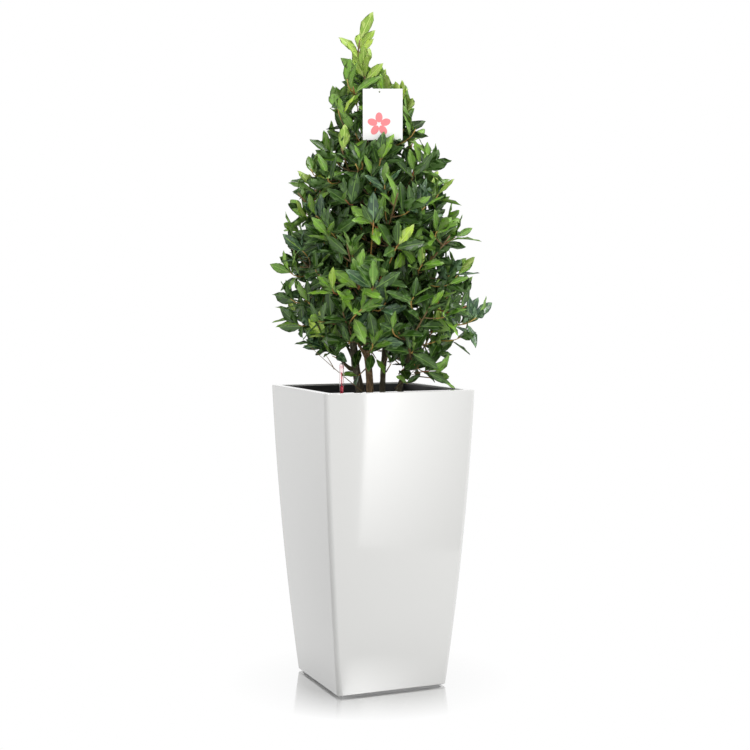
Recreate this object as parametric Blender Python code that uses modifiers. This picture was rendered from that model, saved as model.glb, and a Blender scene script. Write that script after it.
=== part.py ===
"""A bay laurel grown as a pyramid, in a tall square planter.

Metres, +Z up. The origin is the middle of the planter's flat underside and the planter's front faces -Y.
The plant stands a little turned in its planter, so its own directions are across, back and up.
"""

import math
import random

import bmesh
import bpy
from mathutils import Matrix, Vector
from mathutils.bvhtree import BVHTree

SMOOTH_ANGLE = math.radians(35)
GAP = 0.0003

# Planter
PLANTER_HEIGHT = 0.750
PLANTER_TOP = 0.400
PLANTER_BOTTOM = 0.293
SIDE_BULGE = 0.0065
CORNER_RADIUS = 0.012
RIM_EDGE = 0.0025
WALL = 0.005
RIM_DEPTH = 0.015
RIM_OPENING = 0.348
LEDGE_WIDTH = 0.004
LEDGE_DEPTH = 0.008
SIDE_LEVELS = 6
FOOT_HEIGHT = 0.008
FOOT_INSET = 0.010

# Insert, potting mix and water gauge
INSERT_FLANGE = 0.0035
INSERT_WALL = 0.003
INSERT_FLOOR = 0.440
INSERT_FLOOR_WIDTH = 0.270
SOIL_LEVEL = 0.705
GAUGE_PLACE = (-0.140, -0.155)
GAUGE_TOP = 0.820
GAUGE_RADIUS = 0.0055
GAUGE_BORE = 0.0046
GAUGE_CAP = 0.002
TURNING_STEPS = 12
FLOAT_TOP = 0.765
INDICATOR_TOP = 0.798
INDICATOR_RADIUS = 0.0013

# Gift card, seen square on from the front of the plant
CARD_WIDTH = 0.097
CARD_HEIGHT = 0.124
CARD_THICKNESS = 0.001
CARD_MIDDLE = (0.0305, -0.118, 1.4236)
CARD_HOLE = (0.0226, 1.4781)
CARD_HOLE_RADIUS = 0.0022
TIE_RADIUS = 0.0006

# Plant
PLANT_TURN = math.radians(-22.98)
CLEARANCE = 0.0012
CELL_MARGIN = 0.0012
LOWEST_LEAF = 0.766

# Leaf: its size, and its droop, camber and fold as shares of its length
LEAF_LENGTH = 0.100
LEAF_WIDTH = 0.037
LEAF_THICKNESS = 0.002
LEAF_WIDEST = 0.46
LEAF_DROOP = 0.05
LEAF_CAMBER = 0.04
LEAF_FOLD = 0.06
BURIED_ROOT = 0.014

# Leaves along a twig: their spacing, their spread from it in degrees at its tip and lower down, and the size,
# turn and tilt of the leaf that is tried next where one doesn't fit
LEAF_SPACING = 0.018
LEAF_SPREAD = (16, 72)
LEAF_TRIES = ((1.0, 0, 0), (1.0, 40, 0), (1.0, -40, 0), (0.9, 0, -20), (0.85, 0, 18), (0.85, 70, -20),
              (0.75, -70, 0), (0.75, 0, -30), (0.75, 110, -10), (0.65, 180, -30), (0.65, 60, -40))
LEAFY_FROM = 0.2
GOLDEN_ANGLE = math.radians(137.5)

# Each stem: its radius at the soil and at its tip, then its course (across, back, up) from the soil.
STEMS = {
    "stem_left": (0.0125, 0.0050, ((-0.020, 0.000), (-0.036, 0.0, 0.79), (-0.045, -0.005, 0.865),
                                   (-0.072, 0.000, 0.950), (-0.085, 0.010, 1.060), (-0.088, 0.010, 1.140))),
    "stem_leader": (0.0090, 0.0035, ((0.000, -0.034), (-0.004, -0.032, 0.80), (-0.013, -0.028, 0.87),
                                     (-0.016, -0.018, 0.97), (-0.026, -0.006, 1.12), (-0.014, 0.000, 1.30),
                                     (-0.009, 0.000, 1.40), (-0.010, 0.001, 1.475))),
    "stem_right": (0.0080, 0.0040, ((0.030, 0.010), (0.032, 0.012, 0.78), (0.036, 0.018, 0.84),
                                    (0.048, 0.032, 0.97), (0.060, 0.040, 1.12), (0.058, 0.036, 1.225))),
    "stem_low_right": (0.0090, 0.0045, ((0.064, -0.004), (0.074, -0.005, 0.75), (0.090, -0.008, 0.795),
                                        (0.112, -0.010, 0.835), (0.128, -0.010, 0.872))),
}
ROOT_FLARE = 1.35
FLARE_HEIGHT = 0.035

# The crown's reach to the left and to the right at each height, as seen from the front.
CROWN_OUTLINE = (
    (0.760, 0.118, 0.175),
    (0.800, 0.140, 0.225),
    (0.850, 0.190, 0.255),
    (0.900, 0.238, 0.300),
    (0.930, 0.252, 0.330),
    (1.000, 0.257, 0.300),
    (1.060, 0.264, 0.274),
    (1.130, 0.250, 0.282),
    (1.200, 0.234, 0.250),
    (1.270, 0.220, 0.224),
    (1.330, 0.190, 0.200),
    (1.400, 0.135, 0.160),
    (1.480, 0.120, 0.132),
    (1.540, 0.095, 0.095),
    (1.600, 0.084, 0.056),
    (1.650, 0.060, 0.036),
    (1.700, 0.036, 0.020),
)

# Each tier of foliage: height of its middle, share of the reach, number of masses, first bearing in degrees,
# side shoots and leaves in each mass.
TIERS = (
    ("skirt", 0.900, 0.60, 6, 8.0, 5, 24),
    ("low", 1.035, 0.58, 5, 40.0, 5, 23),
    ("middle", 1.165, 0.56, 4, 20.0, 4, 21),
    ("upper", 1.285, 0.54, 4, 60.0, 3, 18),
    ("high", 1.395, 0.52, 3, 165.0, 3, 15),
)
MASS_STAGGER = 0.012
TOP_MASS = (-0.014, 0.0, 1.555)
TOP_GROWTH = (4, 19)
LEADER_TOP = 1.614

# Boughs, and the twigs of a mass. A bough leaves its stem this far below its mass's middle, or at one of the
# other shares of that where it would touch another limb.
BOUGH_RADIUS = 0.0052
BOUGH_TIP_RADIUS = 0.0026
BOUGH_RISE = 0.095
RISE_TRIES = (1.0, 0.8, 1.25, 0.55, 1.5, 0.3, 1.8)
BOUGH_SHARE = 0.48
BOUGH_LEAN = 0.75
BOUGH_BOW = 0.4
BOUGH_STEPS = 4
LEAST_BOUGH = 0.02
LEAST_OUTWARD = 0.012
FREE_ABOVE_FOOT = 0.05
FREE_BELOW_TIP = 0.02
OFF_RISE_COST = 0.1
SEATING_STEPS = 4
ROOT_SAMPLES = 6
TWIG_RADIUS = 0.0022
TWIG_REACH = 0.16
TWIG_SHORT_OF_EDGE = 0.035
TWIG_RISE = 0.9
TWIG_LEAN = 0.8
LEAN_BY_PLACE = 6
TWIG_START = 0.012
TOWARD_MIDDLE = 0.7
ON_AXIS = 0.03
LEAST_TWIG = 0.02
SHOOT_RADIUS = 0.0017
SHOOT_TIP_RADIUS = 0.0011
SHOOT_TRIES = 10
SHOOT_SAG = 0.12
SHOOT_BELOW = 0.6
LEAST_SHOOT = 0.03
SEARCH_HALF = 0.17
SEARCH_POINTS = 600


def clear_scene():
    for obj in list(bpy.data.objects):
        bpy.data.objects.remove(obj, do_unlink=True)


def make_collection(name):
    made = bpy.data.collections.new(name)
    bpy.context.scene.collection.children.link(made)
    return made


def linear(channel):
    return channel / 12.92 if channel <= 0.04045 else ((channel + 0.055) / 1.055) ** 2.4


def make_material(name, colour, roughness, transmission=0.0):
    made = bpy.data.materials.new(name)
    made.use_nodes = True
    shader = made.node_tree.nodes["Principled BSDF"]
    rgb = [linear(int(colour[i : i + 2], 16) / 255) for i in (1, 3, 5)]
    shader.inputs["Base Color"].default_value = (*rgb, 1.0)
    shader.inputs["Roughness"].default_value = roughness
    shader.inputs["Metallic"].default_value = 0.0
    shader.inputs["Transmission Weight"].default_value = transmission
    made.diffuse_color = (*rgb, 1.0)
    return made


def place(name, data, collection, material=None):
    made = bpy.data.objects.new(name, data)
    collection.objects.link(made)
    if material:
        data.materials.append(material)
    return made


def to_mesh(name, form):
    bmesh.ops.recalc_face_normals(form, faces=form.faces)
    mesh = bpy.data.meshes.new(name)
    form.to_mesh(mesh)
    form.free()
    return mesh


def evaluated_mesh(obj):
    """The object's mesh with its modifiers applied and a curve's caps welded."""
    bpy.context.view_layer.update()
    graph = bpy.context.evaluated_depsgraph_get()
    mesh = bpy.data.meshes.new_from_object(obj.evaluated_get(graph))
    form = bmesh.new()
    form.from_mesh(mesh)
    bmesh.ops.remove_doubles(form, verts=form.verts, dist=1e-6)
    form.to_mesh(mesh)
    form.free()
    return mesh


def between(low, high, share):
    return low + (high - low) * share


def shade_round(obj):
    """Smooth shading over rounded edges and gentle swells, with sharp corners kept."""
    obj.data.shade_smooth()
    obj.data.set_sharp_from_angle(angle=SMOOTH_ANGLE)


# Planter


def planter_half(height):
    """Half the planter's width: a straight taper that swells outward as an arc."""
    share = max(0.0, min(1.0, height / PLANTER_HEIGHT))
    straight = between(PLANTER_BOTTOM, PLANTER_TOP, share) / 2
    return straight + SIDE_BULGE * 4 * share * (1 - share)


def square_form(low, high, half_at, corner, levels):
    """A square column whose half width follows half_at, with upright corners of one radius."""
    form = bmesh.new()
    widest = max(half_at(low), half_at(high))
    bmesh.ops.create_cube(form, size=1.0)
    bmesh.ops.scale(form, vec=(2 * widest, 2 * widest, high - low), verts=form.verts)
    bmesh.ops.translate(form, vec=(0, 0, (low + high) / 2), verts=form.verts)
    upright = [e for e in form.edges if abs(e.verts[0].co.z - e.verts[1].co.z) > (high - low) / 2]
    bmesh.ops.bevel(form, geom=upright, offset=corner, segments=4, profile=0.5, affect="EDGES")
    for level in range(1, levels):
        height = between(low, high, level / levels)
        geometry = form.verts[:] + form.edges[:] + form.faces[:]
        bmesh.ops.bisect_plane(form, geom=geometry, plane_co=(0, 0, height), plane_no=(0, 0, 1))
    for vert in form.verts:
        shift = widest - half_at(vert.co.z)
        vert.co.x -= math.copysign(shift, vert.co.x)
        vert.co.y -= math.copysign(shift, vert.co.y)
    return form


def soften_ends(form, width):
    """Rounds the edges round the column's top and bottom faces."""
    heights = [v.co.z for v in form.verts]
    ends = (min(heights), max(heights))
    edges = [e for e in form.edges if any(all(abs(v.co.z - end) < 1e-6 for v in e.verts) for end in ends)]
    bmesh.ops.bevel(form, geom=edges, offset=width, segments=2, profile=0.5, affect="EDGES")


def cut(obj, cutters, collection):
    for name, form in cutters.items():
        cutter = place(name, to_mesh(name, form), collection)
        cutter.hide_render = True
        cutter.display_type = "WIRE"
        modifier = obj.modifiers.new(name, "BOOLEAN")
        modifier.operation = "DIFFERENCE"
        modifier.object = cutter


def make_shell(parts, cutters, material):
    form = square_form(FOOT_HEIGHT, PLANTER_HEIGHT, planter_half, CORNER_RADIUS, SIDE_LEVELS)
    soften_ends(form, RIM_EDGE)
    shell = place("planter_shell", to_mesh("planter_shell", form), parts, material)
    shade_round(shell)
    under_rim = PLANTER_HEIGHT - RIM_DEPTH
    inner = CORNER_RADIUS - WALL
    opening = RIM_OPENING / 2
    cut(shell, {
        "cut_cavity": square_form(FOOT_HEIGHT + WALL, under_rim, lambda z: planter_half(z) - WALL, inner,
                                  SIDE_LEVELS),
        "cut_opening": square_form(under_rim - WALL, PLANTER_HEIGHT + WALL, lambda z: opening, inner, 1),
        "cut_ledge": square_form(PLANTER_HEIGHT - LEDGE_DEPTH, PLANTER_HEIGHT + WALL,
                                 lambda z: opening + LEDGE_WIDTH, inner, 1),
    }, cutters)


def make_foot(parts, material):
    half = PLANTER_BOTTOM / 2 - FOOT_INSET
    form = square_form(0.0, FOOT_HEIGHT - GAP, lambda z: half, CORNER_RADIUS, 1)
    shade_round(place("planter_foot", to_mesh("planter_foot", form), parts, material))


def insert_half(height):
    low = INSERT_FLOOR_WIDTH / 2
    high = RIM_OPENING / 2 - GAP
    return between(low, high, (height - INSERT_FLOOR) / (insert_top() - INSERT_FLOOR))


def insert_top():
    return PLANTER_HEIGHT - LEDGE_DEPTH + GAP + INSERT_FLANGE


def make_insert(parts, cutters, material):
    """The dark growing insert: a tapered bucket whose flange lies on the ledge inside the rim."""
    corner = CORNER_RADIUS - WALL - GAP
    form = square_form(INSERT_FLOOR, insert_top(), insert_half, corner, 1)
    insert = place("growing_insert", to_mesh("growing_insert", form), parts, material)
    shade_round(insert)
    flange_half = RIM_OPENING / 2 + LEDGE_WIDTH - GAP
    flange_form = square_form(insert_top() - INSERT_FLANGE, insert_top(), lambda z: flange_half, corner, 1)
    flange = place("join_flange", to_mesh("join_flange", flange_form), cutters)
    flange.hide_render = True
    flange.display_type = "WIRE"
    joined = insert.modifiers.new("flange", "BOOLEAN")
    joined.operation = "UNION"
    joined.object = flange
    cut(insert, {
        "cut_insert": square_form(INSERT_FLOOR + INSERT_WALL, PLANTER_HEIGHT + WALL,
                                  lambda z: insert_half(z) - INSERT_WALL, corner - INSERT_WALL, 1),
    }, cutters)


def make_soil(parts, material):
    inside = INSERT_WALL + GAP
    form = square_form(INSERT_FLOOR + inside, SOIL_LEVEL, lambda z: insert_half(z) - inside,
                       CORNER_RADIUS - WALL - GAP - INSERT_WALL, 1)
    shade_round(place("potting_mix", to_mesh("potting_mix", form), parts, material))


def turned(name, profile, parts, material, at):
    """A turned piece: its profile (radius, height), run from the top down, spun about the upright axis."""
    form = bmesh.new()
    verts = [form.verts.new((radius, 0.0, height)) for radius, height in profile]
    for first, second in zip(verts, verts[1:]):
        form.edges.new((first, second))
    mesh = bpy.data.meshes.new(name)
    form.to_mesh(mesh)
    form.free()
    made = place(name, mesh, parts, material)
    made.location = at
    screw = made.modifiers.new("turn", "SCREW")
    screw.steps = TURNING_STEPS
    screw.render_steps = TURNING_STEPS
    screw.use_merge_vertices = True
    screw.merge_threshold = 1e-5


def make_gauge(parts, clear, red):
    at = (*GAUGE_PLACE, 0.0)
    foot = SOIL_LEVEL + GAP
    shoulder = GAUGE_TOP - GAUGE_CAP
    outside = ((0.0, GAUGE_TOP), (GAUGE_RADIUS, shoulder), (GAUGE_RADIUS, foot))
    bore = ((GAUGE_BORE, foot), (GAUGE_BORE, shoulder - GAUGE_CAP), (0.0, shoulder))
    turned("gauge_tube", outside + bore, parts, clear, at)
    slim = INDICATOR_RADIUS
    wide = GAUGE_BORE - GAP
    turned("gauge_float", ((0.0, INDICATOR_TOP), (slim, INDICATOR_TOP), (slim, FLOAT_TOP), (wide, FLOAT_TOP),
                           (wide, foot), (0.0, foot)), parts, red, at)


# Stems and boughs


def smooth_course(points, steps):
    """A smooth line through the points, with steps to each stretch between two of them."""
    line = []
    ends = [points[0]] + list(points) + [points[-1]]
    for a, b, c, d in zip(ends, ends[1:], ends[2:], ends[3:]):
        for step in range(steps):
            t = step / steps
            line.append(0.5 * (2 * b + (c - a) * t + (2 * a - 5 * b + 4 * c - d) * t**2
                               + (3 * b - a - 3 * c + d) * t**3))
    line.append(points[-1].copy())
    return line


class Limb:
    """A round tapering limb along a line of points, kept with its tip for what grows on from it."""

    def __init__(self, name, line, radii, parts, material, rounding=2):
        curve = bpy.data.curves.new(name, "CURVE")
        curve.dimensions = "3D"
        curve.bevel_depth = 1.0
        curve.bevel_resolution = rounding
        curve.use_fill_caps = True
        spline = curve.splines.new("POLY")
        spline.points.add(len(line) - 1)
        for point, at, radius in zip(spline.points, line, radii):
            point.co = (*at, 1.0)
            point.radius = radius
        self.line = line
        self.radii = radii
        self.obj = place(name, curve, parts, material)
        mesh = evaluated_mesh(self.obj)
        self.rim = ring_round(line[0], line[1] - line[0], mesh, radii[0] * 1.1)
        self.bare = tree_of(mesh, 0.0)
        self.padded = tree_of(mesh, CLEARANCE)
        bpy.data.meshes.remove(mesh)

    @property
    def tip(self):
        return self.line[-1]

    @property
    def tip_direction(self):
        return (self.line[-1] - self.line[-2]).normalized()

    def root_gap(self, other):
        """The least distance from this limb's flat root end to another limb."""
        fine = [step / ROOT_SAMPLES for step in range(ROOT_SAMPLES + 1)]
        least = 1.0
        for first, second in zip(self.rim, self.rim[1:] + self.rim[:1]):
            for along in fine:
                edge = first.lerp(second, along)
                nearest = (other.bare.find_nearest(edge.lerp(self.line[0], inward))[3] for inward in fine)
                least = min(least, *nearest)
        return least

    def discard(self):
        curve = self.obj.data
        bpy.data.objects.remove(self.obj, do_unlink=True)
        bpy.data.curves.remove(curve)


def ring_round(middle, way, mesh, radius):
    """The mesh's points that close to a middle, in their order round the way that the limb runs."""
    across = way.orthogonal().normalized()
    beside = way.cross(across).normalized()
    found = [v.co - middle for v in mesh.vertices if (v.co - middle).length < radius]
    found.sort(key=lambda point: math.atan2(point.dot(beside), point.dot(across)))
    return [middle + point for point in found]


def tree_of(mesh, padding):
    """A search tree of the mesh's faces, pushed outward by the padding."""
    points = [v.co + v.normal * padding for v in mesh.vertices]
    return BVHTree.FromPolygons(points, [tuple(p.vertices) for p in mesh.polygons])


def plant_point(across, back, up):
    return Matrix.Rotation(PLANT_TURN, 3, "Z") @ Vector((across, back, up))


def make_stem(name, parts, material):
    base_radius, tip_radius, course = STEMS[name]
    across, back = course[0]
    foot = SOIL_LEVEL + GAP
    upright = [plant_point(across, back, foot), plant_point(across, back, foot + FLARE_HEIGHT / 3)]
    rest = [plant_point(*point) for point in course[1:]]
    line = [upright[0]] + smooth_course([upright[1]] + rest, 3)
    low, high = line[0].z, line[-1].z
    radii = []
    for point in line:
        share = (point.z - low) / (high - low)
        flare = 1 + (ROOT_FLARE - 1) * max(0.0, 1 - (point.z - low) / FLARE_HEIGHT) ** 2
        radii.append(between(base_radius, tip_radius, share**0.8) * flare)
    return Limb(name, line, radii, parts, material)


def crown_reach(point):
    """How far the crown reaches from its axis at this point's height, on the point's own side."""
    own = Matrix.Rotation(-PLANT_TURN, 3, "Z") @ point
    height = max(CROWN_OUTLINE[0][0], min(CROWN_OUTLINE[-1][0], own.z))
    for (low, left_low, right_low), (high, left_high, right_high) in zip(CROWN_OUTLINE, CROWN_OUTLINE[1:]):
        if height <= high:
            break
    share = (height - low) / (high - low)
    left = between(left_low, left_high, share)
    right = between(right_low, right_high, share)
    flat = math.hypot(own.x, own.y) or 1.0
    return between(left, right, (1 + own.x / flat) / 2)


def crown_point(bearing, share, height):
    """A point at a share of the crown's reach, at a bearing counted from the plant's right."""
    toward = plant_point(math.cos(bearing), math.sin(bearing), 0.0)
    toward.z = height
    return Vector((toward.x, toward.y, 0.0)) * crown_reach(toward) * share + Vector((0, 0, height))


def mass_middles():
    """The middle of each mass, and how many side shoots and leaves it grows."""
    middles = {}
    growth = {}
    for tier, height, share, count, first, shoots, leaves in TIERS:
        for index in range(count):
            bearing = math.radians(first) + index * math.tau / count
            lift = MASS_STAGGER * (-1) ** index
            middles[f"{tier}_{index + 1}"] = crown_point(bearing, share, height + lift)
            growth[f"{tier}_{index + 1}"] = (shoots, leaves)
    middles["top"] = plant_point(*TOP_MASS)
    growth["top"] = TOP_GROWTH
    return middles, growth


def stem_at(stem, height):
    """The point of the stem's line nearest this height, its direction and its radius there."""
    index = min(range(1, len(stem.line) - 1), key=lambda i: abs(stem.line[i].z - height))
    direction = (stem.line[index + 1] - stem.line[index - 1]).normalized()
    return stem.line[index], direction, stem.radii[index]


def bough_line(stem, height, middle):
    """A bough that leaves the stem at about this height and rises, bowed, to where its mass begins."""
    root, along, radius = stem_at(stem, height)
    end = root.lerp(middle, BOUGH_SHARE)
    outward = end - root
    outward -= along * outward.dot(along)
    if outward.length < LEAST_OUTWARD:
        return None
    outward.normalize()
    leaving = (outward + along * BOUGH_LEAN).normalized()
    sine = leaving.dot(outward)
    cosine = leaving.dot(along)
    start = root + leaving * ((radius + BOUGH_RADIUS * cosine + GAP) / sine)
    if (end - start).length < LEAST_BOUGH:
        return None
    bend = start + leaving * (end - start).length * BOUGH_BOW
    line = []
    for step in range(BOUGH_STEPS + 1):
        t = step / BOUGH_STEPS
        line.append(start * (1 - t) ** 2 + bend * (2 * t * (1 - t)) + end * t**2)
    return line


def make_boughs(stems, middles, parts, material):
    """One bough for each mass, or the tip of the stem that ends beside it. Returns what carries each mass."""
    carriers = {"top": stems["stem_leader"]}
    for name in ("stem_left", "stem_right", "stem_low_right"):
        ahead = stems[name].tip + stems[name].tip_direction * BOUGH_RISE
        free = [key for key in middles if key not in carriers]
        nearest = min(free, key=lambda key: (middles[key] - ahead).length)
        carriers[nearest] = stems[name]
    limbs = list(stems.values())
    for key, middle in middles.items():
        if key in carriers:
            continue
        carriers[key] = clear_bough(key, middle, stems, limbs, parts, material)
        limbs.append(carriers[key])
    return carriers


def clear_bough(key, middle, stems, limbs, parts, material):
    """The first bough, from the nearest stem and height outward, that touches no other limb."""
    tries = []
    for stem in stems.values():
        for rise in RISE_TRIES:
            height = middle.z - BOUGH_RISE * rise
            if stem.line[0].z + FREE_ABOVE_FOOT < height < stem.tip.z - FREE_BELOW_TIP:
                root = stem_at(stem, height)[0]
                cost = (middle - root).length + OFF_RISE_COST * abs(rise - 1.0)
                tries.append((cost, height, stem))
    for _, height, stem in sorted(tries, key=lambda item: item[0]):
        line = bough_line(stem, height, middle)
        if line is None:
            continue
        bough = seated_bough(f"bough_{key}", line, stem, parts, material)
        others = [limb for limb in limbs if limb is not stem]
        if not bough.bare.overlap(stem.bare) and not any(bough.bare.overlap(o.padded) for o in others):
            return bough
        bough.discard()
    raise RuntimeError(f"no clear way for the bough of {key}")


def seated_bough(name, line, stem, parts, material):
    """The bough, with its root moved up to the stem until only the usual gap is left."""
    radii = [between(BOUGH_RADIUS, BOUGH_TIP_RADIUS, i / BOUGH_STEPS) for i in range(BOUGH_STEPS + 1)]
    leaving = (line[1] - line[0]).normalized()
    bough = Limb(name, line, radii, parts, material, rounding=1)
    for _ in range(SEATING_STEPS):
        spare = bough.root_gap(stem) - GAP
        bough.discard()
        line = [line[0] - leaving * spare] + line[1:]
        bough = Limb(name, line, radii, parts, material, rounding=1)
    return bough


# Gift card


def make_card(parts, cutters, material):
    across, back, up = CARD_MIDDLE
    form = bmesh.new()
    bmesh.ops.create_cube(form, size=1.0)
    bmesh.ops.scale(form, vec=(CARD_WIDTH, CARD_THICKNESS, CARD_HEIGHT), verts=form.verts)
    card = place("gift_card", to_mesh("gift_card", form), parts, material)
    card.rotation_euler.z = PLANT_TURN
    card.location = plant_point(across, back, up)
    punch = bmesh.new()
    bmesh.ops.create_cone(punch, cap_ends=True, segments=12, radius1=CARD_HOLE_RADIUS,
                          radius2=CARD_HOLE_RADIUS, depth=CARD_THICKNESS * 6,
                          matrix=Matrix.Rotation(math.radians(90), 4, "X"))
    cut(card, {"cut_hole": punch}, cutters)
    cutter = bpy.data.objects["cut_hole"]
    cutter.rotation_euler.z = PLANT_TURN
    cutter.location = plant_point(CARD_HOLE[0], back, CARD_HOLE[1])
    return card


def make_tie(stem, parts, material):
    """A thin closed loop: through the card's hole, over its top edge and back round the leader."""
    across, height = CARD_HOLE
    hold = CARD_HOLE_RADIUS - TIE_RADIUS - GAP
    hole = plant_point(across, CARD_MIDDLE[1], height + hold)
    over = plant_point(across, CARD_MIDDLE[1], CARD_MIDDLE[2] + CARD_HEIGHT / 2 + TIE_RADIUS + GAP)
    inward = plant_point(0, 2 * TIE_RADIUS + CARD_THICKNESS / 2, 0)
    root, _, radius = stem_at(stem, height)
    toward = (root - hole).normalized()
    side = toward.cross(Vector((0, 0, 1))).normalized()
    turn = (radius + TIE_RADIUS + GAP) * 1.06
    line = [over + inward, over, over - inward, hole - inward, hole, hole + inward]
    for step in range(7):
        angle = math.pi * step / 6
        line.append(root + side * math.cos(angle) * turn + toward * math.sin(angle) * turn)
    curve = bpy.data.curves.new("card_tie", "CURVE")
    curve.dimensions = "3D"
    curve.bevel_depth = TIE_RADIUS
    curve.bevel_resolution = 1
    spline = curve.splines.new("POLY")
    spline.points.add(len(line) - 1)
    for point, at in zip(spline.points, line):
        point.co = (*at, 1.0)
    spline.use_cyclic_u = True
    return place("card_tie", curve, parts, material)


# Foliage


def ring_matrix(at, rotation, radius):
    return Matrix.Translation(at) @ rotation.to_matrix().to_4x4() @ Matrix.Diagonal((radius, radius, 1, 1))


def twig_form(line, radii):
    """A three-sided twig: a capped ring, drawn out from point to point."""
    form = bmesh.new()
    way = (line[1] - line[0]).normalized()
    rotation = Vector((0, 0, 1)).rotation_difference(way)
    frame = ring_matrix(line[0], rotation, radii[0])
    ring = bmesh.ops.create_circle(form, cap_ends=True, segments=3, radius=1.0, matrix=frame)["verts"]
    face = ring[0].link_faces[0]
    for index in range(1, len(line)):
        ahead = line[min(index + 1, len(line) - 1)] - line[index - 1]
        rotation = way.rotation_difference(ahead.normalized()) @ rotation
        way = ahead.normalized()
        new_frame = ring_matrix(line[index], rotation, radii[index])
        region = [face, *face.edges, *face.verts]
        made = bmesh.ops.extrude_face_region(form, geom=region)["geom"]
        face = next(g for g in made if isinstance(g, bmesh.types.BMFace))
        bmesh.ops.transform(form, matrix=new_frame @ frame.inverted(), verts=list(face.verts))
        frame = new_frame
    return form


def leaf_form(root, along, facing, length, width, root_trim=0.0):
    """A folded leaf of eight faces: an octahedron drawn out to the leaf's outline."""
    form = bmesh.new()
    bmesh.ops.create_uvsphere(form, u_segments=4, v_segments=2, radius=1.0)
    side = facing.cross(along).normalized()
    facing = along.cross(side).normalized()
    for vert in form.verts:
        x, y, z = vert.co
        if x < -0.5:
            reach, lift = root_trim, 0.0
        elif x > 0.5:
            reach, lift = length, -LEAF_DROOP * length
        else:
            reach = length * LEAF_WIDEST
            lift = length * (LEAF_CAMBER + LEAF_FOLD * abs(y)) + z * LEAF_THICKNESS / 2
        vert.co = root + along * reach + side * (y * width / 2) + facing * lift
    return form


class Space:
    """The room that one mass keeps to: nearer its own middle than any other, and within the crown."""

    def __init__(self, key, middles, obstacles, carrier):
        self.middle = middles[key]
        self.others = [at for other, at in middles.items() if other != key]
        self.obstacles = [limb.padded for limb in obstacles if limb is not carrier]
        self.carrier = carrier

    def holds(self, point):
        if not LOWEST_LEAF < point.z < CROWN_OUTLINE[-1][0]:
            return False
        if math.hypot(point.x, point.y) > crown_reach(point):
            return False
        for other in self.others:
            apart = other - self.middle
            border = (point - (self.middle + other) / 2).dot(apart) / apart.length
            if border > -CELL_MARGIN:
                return False
        return True

    def takes(self, form, from_carrier=False):
        if not all(self.holds(vert.co) for vert in form.verts):
            return False
        tree = BVHTree.FromBMesh(form)
        own = self.carrier.bare if from_carrier else self.carrier.padded
        return not tree.overlap(own) and not any(tree.overlap(other) for other in self.obstacles)


def reach_within(space, start, direction, longest):
    """How far a line may run from start before it leaves the mass's space."""
    length = longest
    while length > 0.02 and not space.holds(start + direction * length):
        length -= 0.01
    return length


def main_twig(space, carrier):
    """The line of the mass's own stem: on from the carrier's tip, then up and out through the mass."""
    start = carrier.tip + carrier.tip_direction * GAP
    out = Vector((space.middle.x, space.middle.y, 0.0))
    flat = out.length
    lean = out.normalized() * min(TWIG_LEAN, flat * LEAN_BY_PLACE)
    rising = (lean + Vector((0, 0, TWIG_RISE))).normalized()
    near = start + carrier.tip_direction * TWIG_START
    middle = near.lerp(space.middle, TOWARD_MIDDLE)
    length = reach_within(space, middle, rising, TWIG_REACH) - TWIG_SHORT_OF_EDGE
    if flat < ON_AXIS:
        rising, length = Vector((0, 0, 1)), LEADER_TOP - middle.z
    return [start, near, middle, middle + rising * max(LEAST_TWIG, length)]


def along_line(line, share):
    """The point and direction at a share of the line's length."""
    lengths = [(b - a).length for a, b in zip(line, line[1:])]
    left = share * sum(lengths)
    for a, b, length in zip(line, line[1:], lengths):
        if left <= length or b is line[-1]:
            return a.lerp(b, min(1.0, left / length)), (b - a).normalized()
        left -= length


def spread_points(space, started, count, rng):
    """Points that fill the mass's space evenly: each is the one of many that lies farthest from the rest."""
    out = Vector((space.middle.x, space.middle.y, 0.0))
    out = out.normalized() if out.length > 0.02 else Vector((0, 0, 0))
    room = LEAF_LENGTH / 2
    found = []
    for _ in range(SEARCH_POINTS):
        point = space.middle + Vector([rng.uniform(-SEARCH_HALF, SEARCH_HALF) for _ in range(3)])
        if all(space.holds(at) for at in (point, point + out * room, point + Vector((0, 0, room)))):
            found.append(point)
    chosen = list(started)
    for _ in range(min(count, len(found))):
        best = max(found, key=lambda point: min((point - other).length for other in chosen))
        chosen.append(best)
        yield best


def shoot_lines(space, trunk, rng):
    """Side shoots from the mass's stem to points all through its space, each bowed upward."""
    for target in spread_points(space, [trunk[-1]], SHOOT_TRIES, rng):
        shares = [share / 20 for share in range(2, 19)]
        nearest = min(shares, key=lambda share: (along_line(trunk, share)[0] - target).length)
        total = sum((b - a).length for a, b in zip(trunk, trunk[1:]))
        gap = (along_line(trunk, nearest)[0] - target).length
        root, way = along_line(trunk, max(0.08, nearest - SHOOT_BELOW * gap / total))
        straight = target - root
        if straight.length < LEAST_SHOOT:
            continue
        sag = way * 0.5 - Vector((0, 0, 1))
        yield [root, root + straight * 0.5 + sag * SHOOT_SAG * straight.length, target]


def leaf_places(line, rng):
    """Leaves in turn along a shoot, closest and most upright at its tip."""
    total = sum((b - a).length for a, b in zip(line, line[1:]))
    count = 3 + int(total / LEAF_SPACING)
    turn = rng.uniform(0, math.tau)
    for index in range(count):
        share = 1.0 - (1.0 - LEAFY_FROM) * (index / count) ** 1.15
        at, way = along_line(line, share - 0.004)
        turn += GOLDEN_ANGLE
        side = way.orthogonal().normalized()
        side.rotate(Matrix.Rotation(turn, 3, way))
        spread = math.radians(between(*LEAF_SPREAD, min(1.0, index / 5)) + rng.uniform(-7, 7))
        yield at, way, side, spread, LEAF_LENGTH * rng.uniform(0.84, 1.0) * (0.88 if index < 2 else 1.0)


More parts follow.
